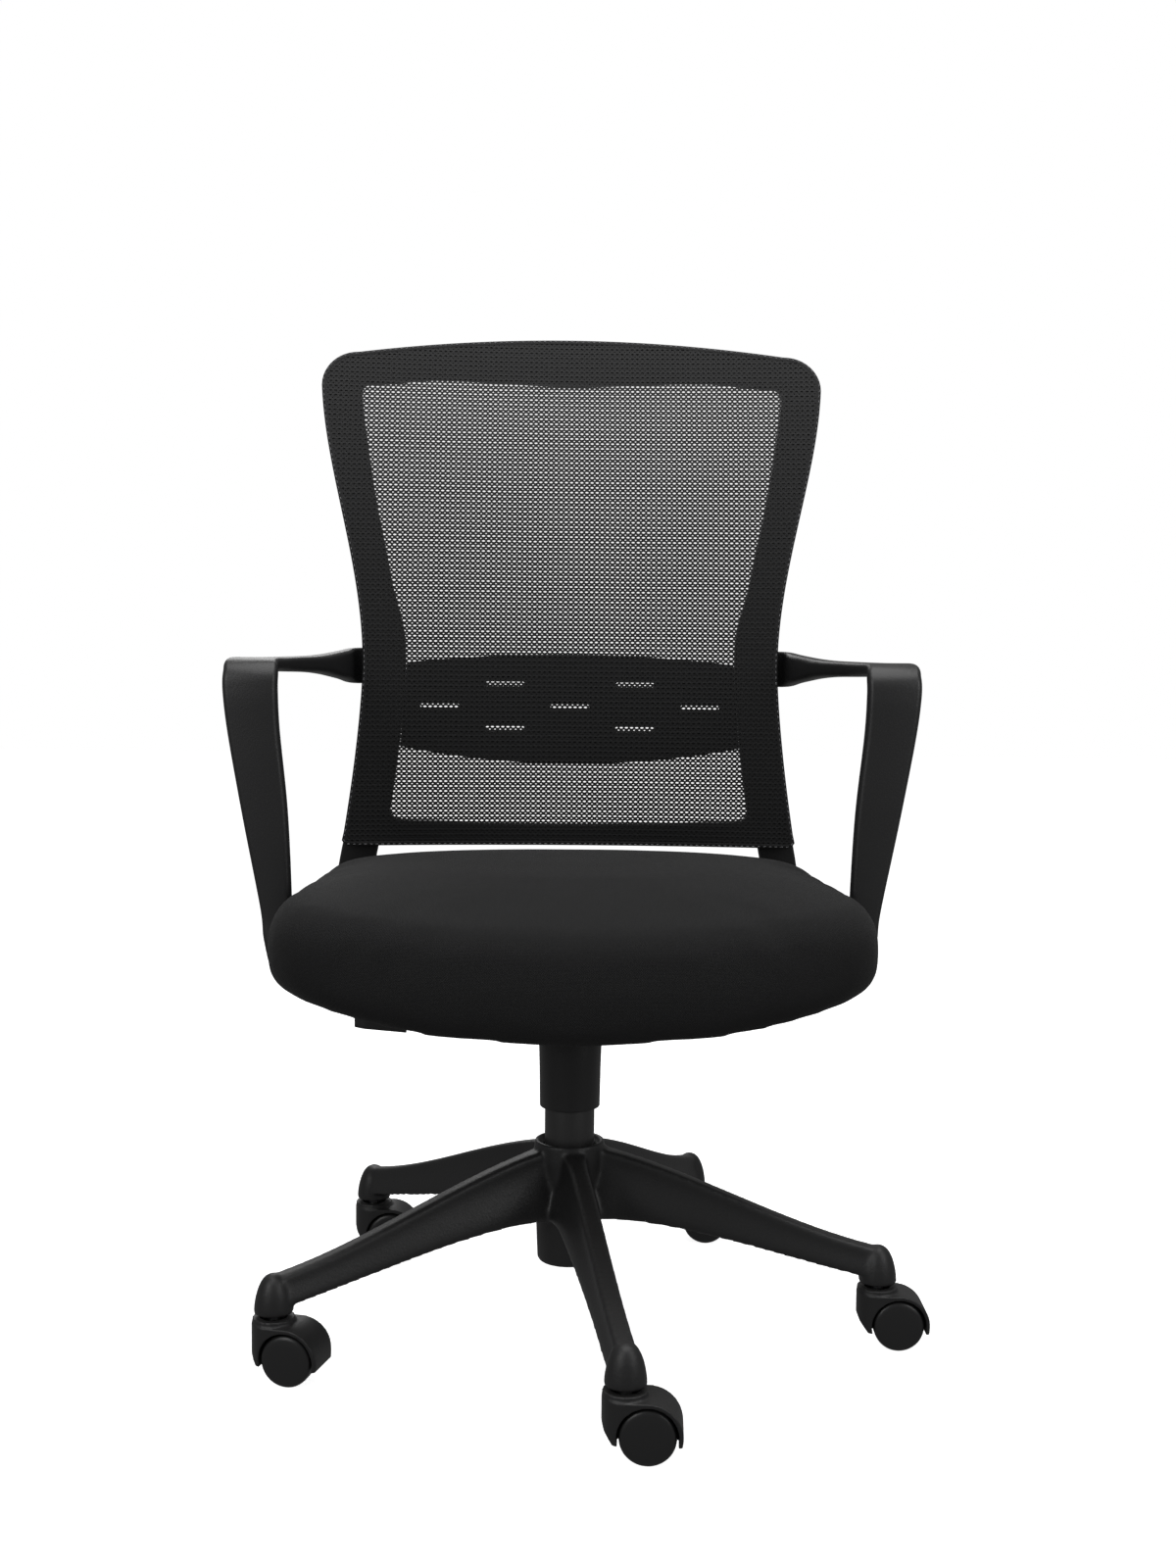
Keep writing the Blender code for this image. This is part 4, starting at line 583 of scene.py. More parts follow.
# %% [markdown]
# ## The casters
# Each caster has a hood that curls over both wheels, a round collar under the dome, a steel stem and axle,
# and two wheels that turn alone. One hood is cut to shape at the origin, rounded like the base, and copied
# to the five places. A wheel is a turned disc with a soft tyre, a step and a shallow cap.

# %% Sizes of a caster
WHEEL_RADIUS = 0.0250
WHEEL_WIDTH = 0.0175
CASTER_TRAIL = 0.0195
HALF_WEB = 0.0040
HOOD_RADIUS = 0.0305
HOOD_HALF = 0.0220
COLLAR_RADIUS = 0.0200
COLLAR_TOP = 0.0600
trail_turns = [math.radians(d) for d in (-3.6, -1.6, -6.6, 0.0, -15.6)]

# %% Hood
wheel_centre = (CASTER_TRAIL, WHEEL_RADIUS)
side_view = arc(wheel_centre, HOOD_RADIUS, -14, 92, 30) + [
    (CASTER_TRAIL - COLLAR_RADIUS, COLLAR_TOP - 0.0045), (-COLLAR_RADIUS - 0.001, COLLAR_TOP - 0.0045),
    (-COLLAR_RADIUS - 0.001, WHEEL_RADIUS + 0.010), (-COLLAR_RADIUS + 0.002, WHEEL_RADIUS + 0.002),
    (-COLLAR_RADIUS + 0.009, WHEEL_RADIUS - 0.007)]
side_view += [(wheel_centre[0] + 0.024 * math.cos(a), wheel_centre[1] + 0.024 * math.sin(a))
              for a in np.radians((200, -17))]
far = CASTER_TRAIL + HOOD_RADIUS + 0.001
plan_view = [((COLLAR_RADIUS + 0.0005) * math.cos(a), HOOD_HALF * math.sin(a))
             for a in np.radians(np.linspace(90, 270, 41))]
plan_view += arc((far - 0.006, -HOOD_HALF + 0.006), 0.006, -90, 0, 6)
plan_view += arc((far - 0.006, HOOD_HALF - 0.006), 0.006, 0, 90, 6)
hood = piece("hood", prism(side_view, -HOOD_HALF - 0.001, HOOD_HALF + 0.001, "Y"))
combined(hood, "INTERSECT", [piece("plan", prism(plan_view, 0.0, 0.07))])
collar = [(0.0, 0.0510), (COLLAR_RADIUS, 0.0510), (COLLAR_RADIUS, COLLAR_TOP), (0.0, COLLAR_TOP)]
combined(hood, "UNION", [piece("collar", turned(collar, 64))])
recess = [(0.0, 0.062), (0.0125, 0.062), (0.0125, 0.0545), (0.0062, 0.0540), (0.0062, 0.0440), (0.0, 0.0440)]
wells = [piece("well", prism(arc(wheel_centre, WHEEL_RADIUS + 0.0017, 0, 360, 72)[:-1],
                             side * HALF_WEB, side * 0.03, "Y")) for side in (-1, 1)]
combined(hood, "DIFFERENCE", wells + [piece("recess", turned(recess, 48))])
softened(hood, 0.0010, 3)
print("hood", len(hood.data.polygons), "faces")

# %% Wheel, stem and axle
outer = WHEEL_WIDTH
wheel_profile = [
    (0.0, outer), (0.0080, outer - 0.0001), (0.0150, outer - 0.0004), (0.0200, outer - 0.0009),
    (0.0225, outer - 0.0015), (0.0240, outer - 0.0026), (0.0248, outer - 0.0042), (0.0250, outer - 0.0070),
    (0.0249, 0.0035), (0.0243, 0.0012), (0.0232, 0.0), (0.0150, 0.0), (0.0145, 0.0030), (0.0070, 0.0030),
    (0.0065, 0.0), (0.0044, 0.0), (0.0044, outer - 0.0040), (0.0, outer - 0.0040)]
stem_profile = [(0.0, 0.0443), (0.0055, 0.0443), (0.0055, 0.0865), (0.0045, 0.0877), (0.0, 0.0877)]
axle_profile = [(0.0, -0.0172), (0.0036, -0.0172), (0.0040, -0.0168), (0.0040, 0.0168), (0.0036, 0.0172),
                (0.0, 0.0172)]
for number, (turn, (tip_x, tip_y)) in enumerate(zip(trail_turns, tips), 1):
    stand = Matrix.Translation((tip_x, tip_y, 0.0)) @ Matrix.Rotation(turn, 4, "Z")
    body = f"caster_{number}"
    cover = hood.copy()
    cover.data = hood.data.copy()
    cover.name = cover.data.name = f"{body}_hood_moulding"
    scene.collection.objects.link(cover)
    cover.data.transform(stand)
    cover.data.materials.append(base_nylon)
    dress(cover, body, "black_nylon", f"{body}_hood")
    stem = piece(f"{body}_stem_turned", turned(stem_profile, 32), bright_steel)
    stem.data.transform(stand)
    dress(stem, body, "bright_steel", f"{body}_stem")
    at_axle = stand @ Matrix.Translation((CASTER_TRAIL, 0.0, WHEEL_RADIUS)) @ Matrix.Rotation(math.pi / 2, 4, "X")
    axle = piece(f"{body}_axle_turned", turned(axle_profile, 24), bright_steel)
    axle.data.transform(at_axle)
    dress(axle, body, "bright_steel", f"{body}_axle")
    for letter, side in (("a", 1), ("b", -1)):
        wheel = piece(f"{body}_wheel_{letter}_turned", turned(wheel_profile, 64), wheel_tread, 50.0)
        seat = Matrix.Translation((0.0, 0.0, -side * (HALF_WEB + 0.0003)))
        flip = Matrix.Rotation(math.pi, 4, "X") if side > 0 else Matrix.Identity(4)
        wheel.data.transform(at_axle @ seat @ flip)
        dress(wheel, f"{body}_wheel_{letter}", "caster_tread", f"{body}_wheel_{letter}")
bpy.data.objects.remove(hood)

# %% [markdown]
# ## The column
# A steel tube stands in the hub, and a thin nylon cover hangs from the mechanism over it. Both are turned.
# The cover widens a little upwards, with a rounded lip at its foot. The gas cylinder and the rod are
# inside and keep their CAD shapes.

# %% Tube and cover
tube_wall = 0.0025
tube = piece("column_tube_turned", turned([
    (0.0060, tube_low.z), (TUBE_RADIUS - 0.0012, tube_low.z), (TUBE_RADIUS, HUB_TOP - 0.0065),
    (TUBE_RADIUS, tube_high.z - 0.0012), (TUBE_RADIUS - 0.0004, tube_high.z - 0.0003),
    (TUBE_RADIUS - 0.0010, tube_high.z), (TUBE_RADIUS - tube_wall, tube_high.z),
    (TUBE_RADIUS - tube_wall - 0.0004, tube_low.z + 0.005), (0.0060, tube_low.z + 0.005)], 96), tube_paint)
dress(tube, "base", "black_steel", "column_tube")
cover_low, cover_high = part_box("column_cover")
wide = cover_high.x
cover = piece("column_cover_turned", turned([
    (wide - 0.0036, cover_low.z + 0.0004), (wide - 0.0030, cover_low.z), (wide - 0.0022, cover_low.z),
    (wide - 0.0017, cover_low.z + 0.0005), (wide - 0.0016, cover_low.z + 0.0015),
    (wide - 0.0010, cover_low.z + 0.0400), (wide - 0.0002, cover_high.z - 0.0020),
    (wide - 0.0006, cover_high.z - 0.0005), (wide - 0.0014, cover_high.z), (0.0200, cover_high.z),
    (0.0200, cover_high.z - 0.0020), (wide - 0.0022, cover_high.z - 0.0020),
    (wide - 0.0036, cover_low.z + 0.0030)], 128), arm_skin)
dress(cover, "lift_column", "black_nylon", "column_cover")

# %% [markdown]
# ## Height lever
# A steel rod comes out of the mechanism and ends in a nylon paddle that the fingers find under the seat.
# The rod follows a smooth line through five places. The paddle is a rounded slab with a thick lip curled
# down along its front edge, and small grip ribs across its underside.

# %% Lever rod and paddle
valve_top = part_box("valve_pin")[1].z
LEVER_Z = valve_top + 0.0038
PADDLE_LOW = LEVER_Z - 0.0130
PADDLE_INNER, PADDLE_OUTER, PADDLE_HALF = 0.1630, 0.2150, 0.0200
route = through([(0.0120, LEVER_Z), (-0.0900, LEVER_Z), (-0.1180, LEVER_Z - 0.0025),
                 (-0.1570, PADDLE_LOW + 0.0030), (-0.1830, PADDLE_LOW)], 8)
rings = []
for i, point in enumerate(route):
    along = Vector((*(route[min(i + 1, len(route) - 1)] - route[max(i - 1, 0)]), 0.0)).normalized()
    rings.append([(point[0] - along.y * 0.0035 * math.sin(a), 0.0035 * math.cos(a),
                   point[1] + along.x * 0.0035 * math.sin(a)) for a in np.linspace(0, 2 * math.pi, 25)[:-1]])
dress(piece("height_lever_rod", loft(rings), black_steel), "lever", "black_steel", "height_lever")


def paddle_section(x):
    """(y, z) points round the paddle at a distance from the column: a slab whose front edge curls down."""
    out = (x - PADDLE_INNER) / (PADDLE_OUTER - PADDLE_INNER)
    half = PADDLE_HALF * (1 - 0.22 * ease((out - 0.72) / 0.28) ** 2)
    top = PADDLE_LOW + 0.0062 - 0.0012 * out
    lip = PADDLE_LOW - 0.0145 + 0.0045 * out
    return [(half, top - 0.002), (half - 0.002, top), (0.0, top + 0.0006), (-half + 0.003, top),
            (-half + 0.0008, top - 0.0010), (-half, top - 0.0030), (-half, lip + 0.0030),
            (-half + 0.0012, lip + 0.0006), (-half + 0.0032, lip), (-half + 0.0052, lip + 0.0008),
            (-half + 0.0062, lip + 0.0030), (-half + 0.0068, top - 0.0150), (-half + 0.0110, top - 0.0132),
            (0.0, top - 0.0130), (half - 0.002, top - 0.0126), (half, top - 0.0108)]


stations = [[(-x, y, z) for y, z in paddle_section(x)] for x in np.linspace(PADDLE_INNER, PADDLE_OUTER, 20)]
paddle = piece("lever_paddle_moulding", loft(stations))
grips = [piece("grip", prism(rounded_box(0.0008, 0.0135, 0.0007), PADDLE_LOW - 0.0082, PADDLE_LOW - 0.0050))
         for _ in range(5)]
for number, grip in enumerate(grips):
    grip.data.transform(Matrix.Translation((-PADDLE_INNER - 0.014 - 0.006 * number, 0.003, 0.0)))
combined(paddle, "UNION", grips)
softened(paddle, 0.0008, 4)
paddle.data.materials.append(arm_skin)
dress(paddle, "lever", "black_nylon", "lever_paddle")

# %% [markdown]
# ## The seat cushion
# Foam in a fabric cover, stapled under a board: a rounded slab, crowned on top, whose front rolls down so
# that it doesn't press under the thighs. The slab is lofted a little small, given an even skin, and blown
# up by a short cloth simulation whose underside is pinned. Its moves are scaled, so that the largest is
# 6 mm. The simulation gives the soft corners and the slightly pulled-in edges that a hand-made curve misses.

# %% Plan of the seat
SEAT_HALF_WIDTH, SEAT_FRONT, SEAT_REAR = 0.2810, -0.2520, 0.2020
board_low, board_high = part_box("seat_board")
CUSHION_LOW = board_high.z - 0.0030
CUSHION_HEIGHT, CROWN = 0.1045, 0.0140
FRONT_DROP, DROP_FADE = 0.0360, 1.25
FRONT_BOW, SQUARENESS = 0.0220, 6.5


def seat_half(y):
    """Half the width of the seat, which narrows to the rear."""
    return SEAT_HALF_WIDTH - 0.020 * ease((y + 0.15) / (SEAT_REAR + 0.15))


def seat_plan(inset, count):
    """A rounded rectangle that narrows to the rear and bows at the front."""
    middle, deep = (SEAT_FRONT + SEAT_REAR) / 2, (SEAT_REAR - SEAT_FRONT) / 2 - inset
    points = []
    for i in range(count):
        c, s = math.cos(2 * math.pi * i / count), math.sin(2 * math.pi * i / count)
        y = middle + deep * math.copysign(abs(s) ** (2 / SQUARENESS), s)
        half = seat_half(y) - inset
        x = half * math.copysign(abs(c) ** (2 / SQUARENESS), c)
        points.append((x, y + FRONT_BOW * (x / half) ** 2 * ease((middle - y) / deep)))
    return points


def seat_ring(inset, height, count=120):
    """The plan at a height. Its front drops, but for the part of the underside that lies on the board."""
    over_board = inset > 0.024 and height < 0.1 * CUSHION_HEIGHT
    top = height > 0.6 * CUSHION_HEIGHT
    drop = FRONT_DROP * (0.0 if over_board else 0.5 if top else 1.0)
    fade = [1 - DROP_FADE * (x / SEAT_HALF_WIDTH) ** 2 for x, _ in seat_plan(inset, count)]
    return [(x, y, CUSHION_LOW + height - drop * ease((-y - 0.080) / 0.170) * share)
            for (x, y), share in zip(seat_plan(inset, count), fade)]


print("seat", SEAT_HALF_WIDTH * 2, "wide,", SEAT_REAR - SEAT_FRONT, "deep")

# %% Blow the cushion up
LARGEST_MOVE, CUSHION_VOXEL = 0.0060, 0.0060
high = CUSHION_HEIGHT - CROWN
BULGE = 0.0020
# Each row: how far inside the plan, height
rows = [(0.2400, 0.0035), (0.1000, 0.0035), (0.0300, 0.0030), (0.0200, 0.0005), (0.0130, 0.0),
        (0.0055 - BULGE, 0.0070), (0.0010 - BULGE, 0.0170), (-BULGE, 0.0290), (0.0002 - BULGE, 0.0500),
        (0.0040 - BULGE, 0.0650), (0.0105 - BULGE, 0.0760), (0.0200 - BULGE, high - 0.0060),
        (0.0340 - BULGE, high - 0.0030), (0.0700, high + 0.0020), (0.1300, high + CROWN - 0.0050),
        (0.1900, high + CROWN - 0.0020), (0.2250, high + CROWN - 0.0020)]
cushion = piece("seat_cushion_upholstered", loft([seat_ring(inset, height) for inset, height in rows]))
skin = cushion.modifiers.new("skin", "REMESH")
skin.mode, skin.voxel_size = "VOXEL", CUSHION_VOXEL
baked(cushion)
before = np.array([v.co for v in cushion.data.vertices])
pinned = cushion.vertex_groups.new(name="pinned")
for vertex in cushion.data.vertices:
    height = vertex.co.z - CUSHION_LOW
    pinned.add([vertex.index], 1.0 - ease((height - 0.004) / 0.010), "REPLACE")
cloth = cushion.modifiers.new("cloth", "CLOTH")
cloth.settings.use_pressure, cloth.settings.uniform_pressure_force = True, 4.0
cloth.settings.effector_weights.gravity = 0.0
cloth.settings.quality = 5
cloth.settings.vertex_group_mass = "pinned"
cloth.settings.tension_stiffness = cloth.settings.compression_stiffness = 6.0
cloth.settings.bending_stiffness = 12.0
for number in range(1, 21):
    scene.frame_set(number)
baked(cushion)
scene.frame_set(1)
cushion.vertex_groups.clear()
moved = np.array([v.co for v in cushion.data.vertices]) - before
length = np.linalg.norm(moved, axis=1, keepdims=True)
moved *= min(1.0, LARGEST_MOVE / max(float(length.max()), 1e-9))
cushion.data.vertices.foreach_set("co", (before + moved).astype(np.float32).ravel())
cushion.data.update()
relax = cushion.modifiers.new("relax", "SMOOTH")
relax.iterations, relax.factor = 8, 0.5
finer = cushion.modifiers.new("finer", "SUBSURF")
finer.levels = finer.render_levels = 1
baked(cushion)
cushion.data.shade_smooth()
cushion.data.materials.clear()
cushion.data.materials.append(seat_cloth)
print("largest move of the cloth", round(float(length.max()) * 1000, 1), "mm, cushion from",
      *(tuple(round(f([v.co[k] for v in cushion.data.vertices]), 4) for k in range(3)) for f in (min, max)))
dress(cushion, "seat_and_back", "seat_fabric", "seat_cushion")

# %% [markdown]
# ## The back's shape
# The frame, the net and the lumbar plate all lie on one curved surface: it bulges at the waist, leans back
# above it and is dished from side to side. Its outline is wide at the hips, narrow at the waist and widest
# at the shoulders. Each of these is a short function, so that the pieces fit each other.

# %% The surface and the outline of the back
BACK_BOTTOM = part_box("top_plate")[1].z - 0.0030 + 0.1085
BACK_HEIGHT, BACK_CROWN, BACK_CORNER = 0.5660, 0.0200, 0.0380
BACK_HALF_BOTTOM, BACK_HALF_WAIST, BACK_HALF_TOP = 0.2500, 0.2262, 0.2765
BACK_THICKNESS, RAIL_TOP, RAIL_BOTTOM = 0.0180, 0.0500, 0.0290
waist_z = BACK_BOTTOM + 0.35 * BACK_HEIGHT


def back_depth(x, z):
    """How far behind the column the front of the back is: it leans from the waist and is dished."""
    rise = z - waist_z + 0.012
    return 0.2100 + (0.64 if rise > 0 else 0.33) * rise * rise - 0.35 * x * x


def back_half(z):
    """Half the width of the back at a height."""
    shoulder = BACK_BOTTOM + BACK_HEIGHT - BACK_CROWN - BACK_CORNER
    if z < waist_z:
        share = (waist_z - z) / (waist_z - BACK_BOTTOM)
        return BACK_HALF_WAIST + (BACK_HALF_BOTTOM - BACK_HALF_WAIST) * share ** 1.5
    share = min((z - waist_z) / (shoulder - waist_z), 1.0)
    widening = ease(share * 0.93 + 0.02) / ease(0.95)
    return BACK_HALF_WAIST + (BACK_HALF_TOP - BACK_HALF_WAIST) * widening - 0.0030 * math.sin(math.pi * share)


def window_half(z):
    """Half the width of the opening at a height: the side rails are narrowest above the middle."""
    share = (z - BACK_BOTTOM) / BACK_HEIGHT
    return back_half(z) - 0.0455 + 0.0075 * ease((share - 0.40) / 0.12) - 0.0040 * ease((share - 0.62) / 0.2)


def outline(inset=0.0):
    """The outline of the back as (x, z), from the middle of the sill up the right side and round."""
    low, crown = BACK_BOTTOM + inset, BACK_BOTTOM + BACK_HEIGHT - inset
    radius, foot = BACK_CORNER - inset, 0.008
    shoulder, hip = crown - BACK_CROWN - radius, back_half(low) - inset
    half = [((hip - foot) * t, low) for t in np.linspace(0.0, 0.98, 30)]
    half += arc((hip - foot, low + foot), foot, -90, 0, 5)
    half += [(back_half(z) - inset, z) for z in np.linspace(low + foot + 0.004, shoulder, 60)]
    half += arc((BACK_HALF_TOP - inset - radius, shoulder), radius, 8, 90, 12)
    edge = half[-1][0]
    half += [(edge * t, crown - BACK_CROWN * t * t) for t in np.linspace(0.97, 0.0, 40)]
    return half + [(-x, z) for x, z in half[-2:0:-1]]


def window():
    """The opening as (x, z): it follows the outline, with small corners and a dipped top edge."""
    low, high_edge = BACK_BOTTOM + RAIL_BOTTOM, BACK_BOTTOM + BACK_HEIGHT - RAIL_TOP - 0.0060
    corner = 0.010
    heights = np.linspace(low + corner, high_edge - corner, 60)
    top_x, low_x = window_half(heights[-1]), window_half(heights[0])
    half = [(low_x * t, low - 0.006 * (1 - t * t)) for t in np.linspace(0.0, 0.93, 24)]
    half += arc((low_x - corner, low + corner), corner, -80, 0, 7)[:-1]
    half += [(window_half(z), z) for z in heights]
    half += arc((top_x - corner, high_edge - corner), corner, 0, 90, 7)[1:]
    half += [((top_x - corner) * t, high_edge + 0.0072 * ease((1 - t) / 0.35) - 0.0045 * ease((0.65 - t) / 0.65))
             for t in np.linspace(0.97, 0.0, 36)]
    return half + [(-x, z) for x, z in half[-2:0:-1]]


def ray_hits(loop, centre, angles):
    """Where rays from a centre meet a closed outline that is seen whole from there."""
    points = np.array(loop) - centre
    around = np.arctan2(points[:, 1], points[:, 0])
    order = np.argsort(around)
    points, after = points[order], np.searchsorted(around[order], angles) % len(points)
    a, b = points[after - 1], points[after]
    off_a, off_b = (p[:, 0] * np.sin(angles) - p[:, 1] * np.cos(angles) for p in (a, b))
    return a + (b - a) * (off_a / (off_a - off_b))[:, None] + centre


back_centre = np.array((0.0, BACK_BOTTOM + 0.5 * BACK_HEIGHT))
print("outline of the back", len(outline()), "points, window", len(window()))

# %% [markdown]
# ## Back frame and legs
# The frame is one nylon moulding: a ring with round edges, and two legs that go down behind the cushion
# and hook forward under the seat. The ring is lofted over 480 rays from the middle of the window, each
# with the same round-cornered section. Each leg is a section carried along a smooth path, and the two
# solids are joined.

# %% Ring of the frame
RAYS = 480
rays = np.linspace(-math.pi, math.pi, RAYS + 1)[:-1]
inner_edge = ray_hits(window(), back_centre, rays)
outer_edge = ray_hits(outline(), back_centre, rays)


def ring_section(length, thick, radius):
    """(share from the inner edge to the outer one, depth) points round a wide bar."""
    flats = np.linspace(radius, length - radius, 7)
    side = [(radius * (1 - math.cos(a)), radius * (1 - math.sin(a))) for a in np.radians((0, 30, 60, 90))]
    near = side[:-1] + [(u, 0.0) for u in flats] + [(length - u, v) for u, v in side[:-1][::-1]]
    return [(u / length, v) for u, v in near] + [(u / length, thick - v) for u, v in near[::-1]]


rings = []
for near, far in zip(inner_edge, outer_edge):
    length = float(np.linalg.norm(far - near))
    rings.append([(x, back_depth(x, z) + v, z) for share, v in ring_section(length, BACK_THICKNESS, 0.0032)
                  for x, z in (near + (far - near) * share,)])
back_ring = piece("back_frame_moulding", loft(rings, loop=True), None, 50.0)

# %% Legs of the frame
foot_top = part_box("seat_shell")[0].z - 0.0003
FOOT_THICKNESS, LEG_HALF = 0.0100, 0.0200
behind_seat = SEAT_REAR + 0.0220
rail_x, rail_z = BACK_HALF_BOTTOM - 0.0230, BACK_BOTTOM + 0.035
rail_y = back_depth(rail_x, rail_z)
leg_rows = [
    (rail_x - 0.005, rail_y + BACK_THICKNESS / 2, rail_z, 0, 0.0140),
    (rail_x + 0.006, max(rail_y, behind_seat - 0.012) + 0.010, BACK_BOTTOM - 0.010, -4, 0.0140),
    (rail_x + 0.013, behind_seat + 0.012, BACK_BOTTOM - 0.050, -4, 0.0140),
    (0.2370, behind_seat + 0.011, foot_top + 0.022, 10, 0.0135),
    (0.2340, behind_seat + 0.003, foot_top + 0.004, 45, 0.0125),
    (0.2310, behind_seat - 0.018, foot_top - 0.0050, 90, FOOT_THICKNESS),
    (0.2310, 0.0850, foot_top - 0.0050, 90, FOOT_THICKNESS)]
legs = []
for side in (-1, 1):
    rings = []
    for x, y, z, degrees, thick in through(leg_rows, 6):
        a = math.radians(degrees)
        rings.append([(side * (x + u), y + math.cos(a) * v, z - math.sin(a) * v)
                      for u, v in rounded_box(LEG_HALF, thick / 2, 0.0035)])
    legs.append(piece("leg", loft(rings)))
combined(back_ring, "UNION", legs)
back_ring.data.materials.clear()
back_ring.data.materials.append(frame_nylon)
back_ring.data.shade_smooth()
back_ring.data.set_sharp_from_angle(angle=math.radians(50))
dress(back_ring, "seat_and_back", "black_nylon", "back_frame")

# %% [markdown]
# ## Lumbar plate
# A bowed band of thin nylon, held in the window behind the net, supports the small of the back. Seven
# slots in three rows let it bend. The band is a loft over the back's surface, and the round-ended slots
# are cut through it.

# %% Band with seven slots
lumbar_low, lumbar_high = BACK_BOTTOM + 0.0910, BACK_BOTTOM + 0.2120
LUMBAR_THICKNESS, LUMBAR_FRONT = 0.0035, 0.0020
edge = [(0.0007, 0.0), (0.0, 0.0007), (0.0, LUMBAR_THICKNESS - 0.0007), (0.0007, LUMBAR_THICKNESS)]
rings = []
for share in np.linspace(-1, 1, 81):
    bottom, top = lumbar_low + 0.019 * share**2, lumbar_high - 0.010 * share**2
    flat = [(d, 0.0) for d in np.linspace(0.004, top - bottom - 0.004, 14)]
    profile = flat + [(top - bottom - d, v) for d, v in edge]
    profile += [(d, LUMBAR_THICKNESS) for d, _ in flat[::-1]] + [(d, v) for d, v in edge[::-1]]
    ring = []
    for d, v in profile:
        z = bottom + d
        x = (window_half(z) - 0.0016) * share
        ring.append((x, back_depth(x, z) + LUMBAR_FRONT + v, z))
    rings.append(ring)
lumbar = piece("lumbar_band", loft(rings))
slot_middle = (lumbar_low + lumbar_high) / 2 + 0.003
slot_places = [(x * 0.0715, z * 0.0245) for z in (-1, 1) for x in (-1, 1)] + [(x, 0.0) for x in (-0.143, 0, 0.143)]
slots = []
for x, z in slot_places:
    shape = [(x + u, slot_middle + z + v) for u, v in rounded_box(0.0215, 0.0025, 0.0024, 5)]
    slots.append(piece("slot", prism(shape, 0.15, 0.30, "Y")))
combined(lumbar, "DIFFERENCE", slots)
lumbar.data.materials.clear()
lumbar.data.materials.append(frame_nylon)
dress(lumbar, "seat_and_back", "black_nylon", "lumbar_plate")

# %% [markdown]
# ## One tree that repeats a shape
# Bolts, stitches and the cells of the net are all the same thing: a small shape, many places. One
# Geometry Nodes tree puts an object's mesh on every point of a point cloud, turns it by the point's own
# `turn`, varies its size a little from a fixed seed, welds neighbours and gives them their finish.

# %% Geometry Nodes tree


def repeating_tree():
    tree = bpy.data.node_groups.new("repeat_on_points", "GeometryNodeTree")
    wanted = (("Points", "Geometry"), ("Shape", "Object"), ("Finish", "Material"), ("Size variation", "Float"),
              ("Seed", "Int"), ("Weld distance", "Float"))
    for name, kind in wanted:
        tree.interface.new_socket(name, in_out="INPUT", socket_type="NodeSocket" + kind)
    tree.interface.new_socket("Mesh", in_out="OUTPUT", socket_type="NodeSocketGeometry")
    given = {name: Wire(tree, socket) for (name, _), socket in
             zip(wanted, tree.nodes.new("NodeGroupInput").outputs)}
    shape = add(tree, "GeometryNodeObjectInfo", None, {"Object": given["Shape"]}, "Geometry")
    own_turn = add(tree, "GeometryNodeInputNamedAttribute", {"data_type": "FLOAT_VECTOR"}, {"Name": "turn"})
    turned_by = add(tree, "FunctionNodeEulerToRotation", None, {"Euler": own_turn})
    least, most = given["Size variation"] * -1 + 1, given["Size variation"] + 1
    size = add(tree, "FunctionNodeRandomValue", {"data_type": "FLOAT"},
               {2: least, 3: most, "Seed": given["Seed"]}, 1)
    many = add(tree, "GeometryNodeInstanceOnPoints", None,
               {"Points": given["Points"], "Instance": shape, "Rotation": turned_by, "Scale": size})
    real = add(tree, "GeometryNodeRealizeInstances", None, {"Geometry": many})
    welded = add(tree, "GeometryNodeMergeByDistance", None, {"Geometry": real, "Distance": given["Weld distance"]})
    coloured = add(tree, "GeometryNodeSetMaterial", None, {"Geometry": welded, "Material": given["Finish"]})
    tree.links.new(coloured.socket, tree.nodes.new("NodeGroupOutput").inputs["Mesh"])
    return tree


repeat = repeating_tree()


def repeated(name, places, shape, finish, turns=None, variation=0.0, seed=7, weld=0.0):
    """One mesh with the shape at every place, turned there by the place's own angles."""
    mesh = bpy.data.meshes.new(name)
    mesh.from_pydata([tuple(place) for place in places], [], [])
    spin = mesh.attributes.new("turn", "FLOAT_VECTOR", "POINT")
    flat_turns = np.zeros((len(places), 3), np.float32) if turns is None else np.array(turns, np.float32)
    spin.data.foreach_set("vector", flat_turns.ravel())
    made = bpy.data.objects.new(name, mesh)
    scene.collection.objects.link(made)
    change = made.modifiers.new("repeat", "NODES")
    change.node_group = repeat
    names = {item.name: item.identifier for item in repeat.interface.items_tree if item.in_out == "INPUT"}
    for key, value in (("Shape", shape), ("Finish", finish), ("Size variation", variation), ("Seed", seed),
                       ("Weld distance", weld)):
        change[names[key]] = value
    baked(made)
    print(f"{name}: {len(places)} copies, {len(made.data.polygons)} faces")
    return made


# %% [markdown]
# ## Bolts
# Ten bolts hold the plate, the arms and the legs of the back to the seat from below. All have the same
# head, a low button with a socket. One bolt is turned for each of the two lengths, and the tree puts a copy
# at each place that the CAD gives.

# %% Bolts from below


def bolt_shape(length):
    """A bolt along +Z with its head's face at z = 0."""
    socket = [(0.0, 0.0026), (0.0020, 0.0024), (0.0021, 0.0)]
    head = [(0.0044, 0.0), (0.0054, 0.0005), (0.0060, 0.0018), (0.0060, 0.0040)]
    shank = [(0.0030, 0.0040), (0.0030, length - 0.0006), (0.0024, length), (0.0, length)]
    made = piece("bolt", turned(socket + head + shank, 24))
    made.data.set_sharp_from_angle(angle=math.radians(40))
    return made


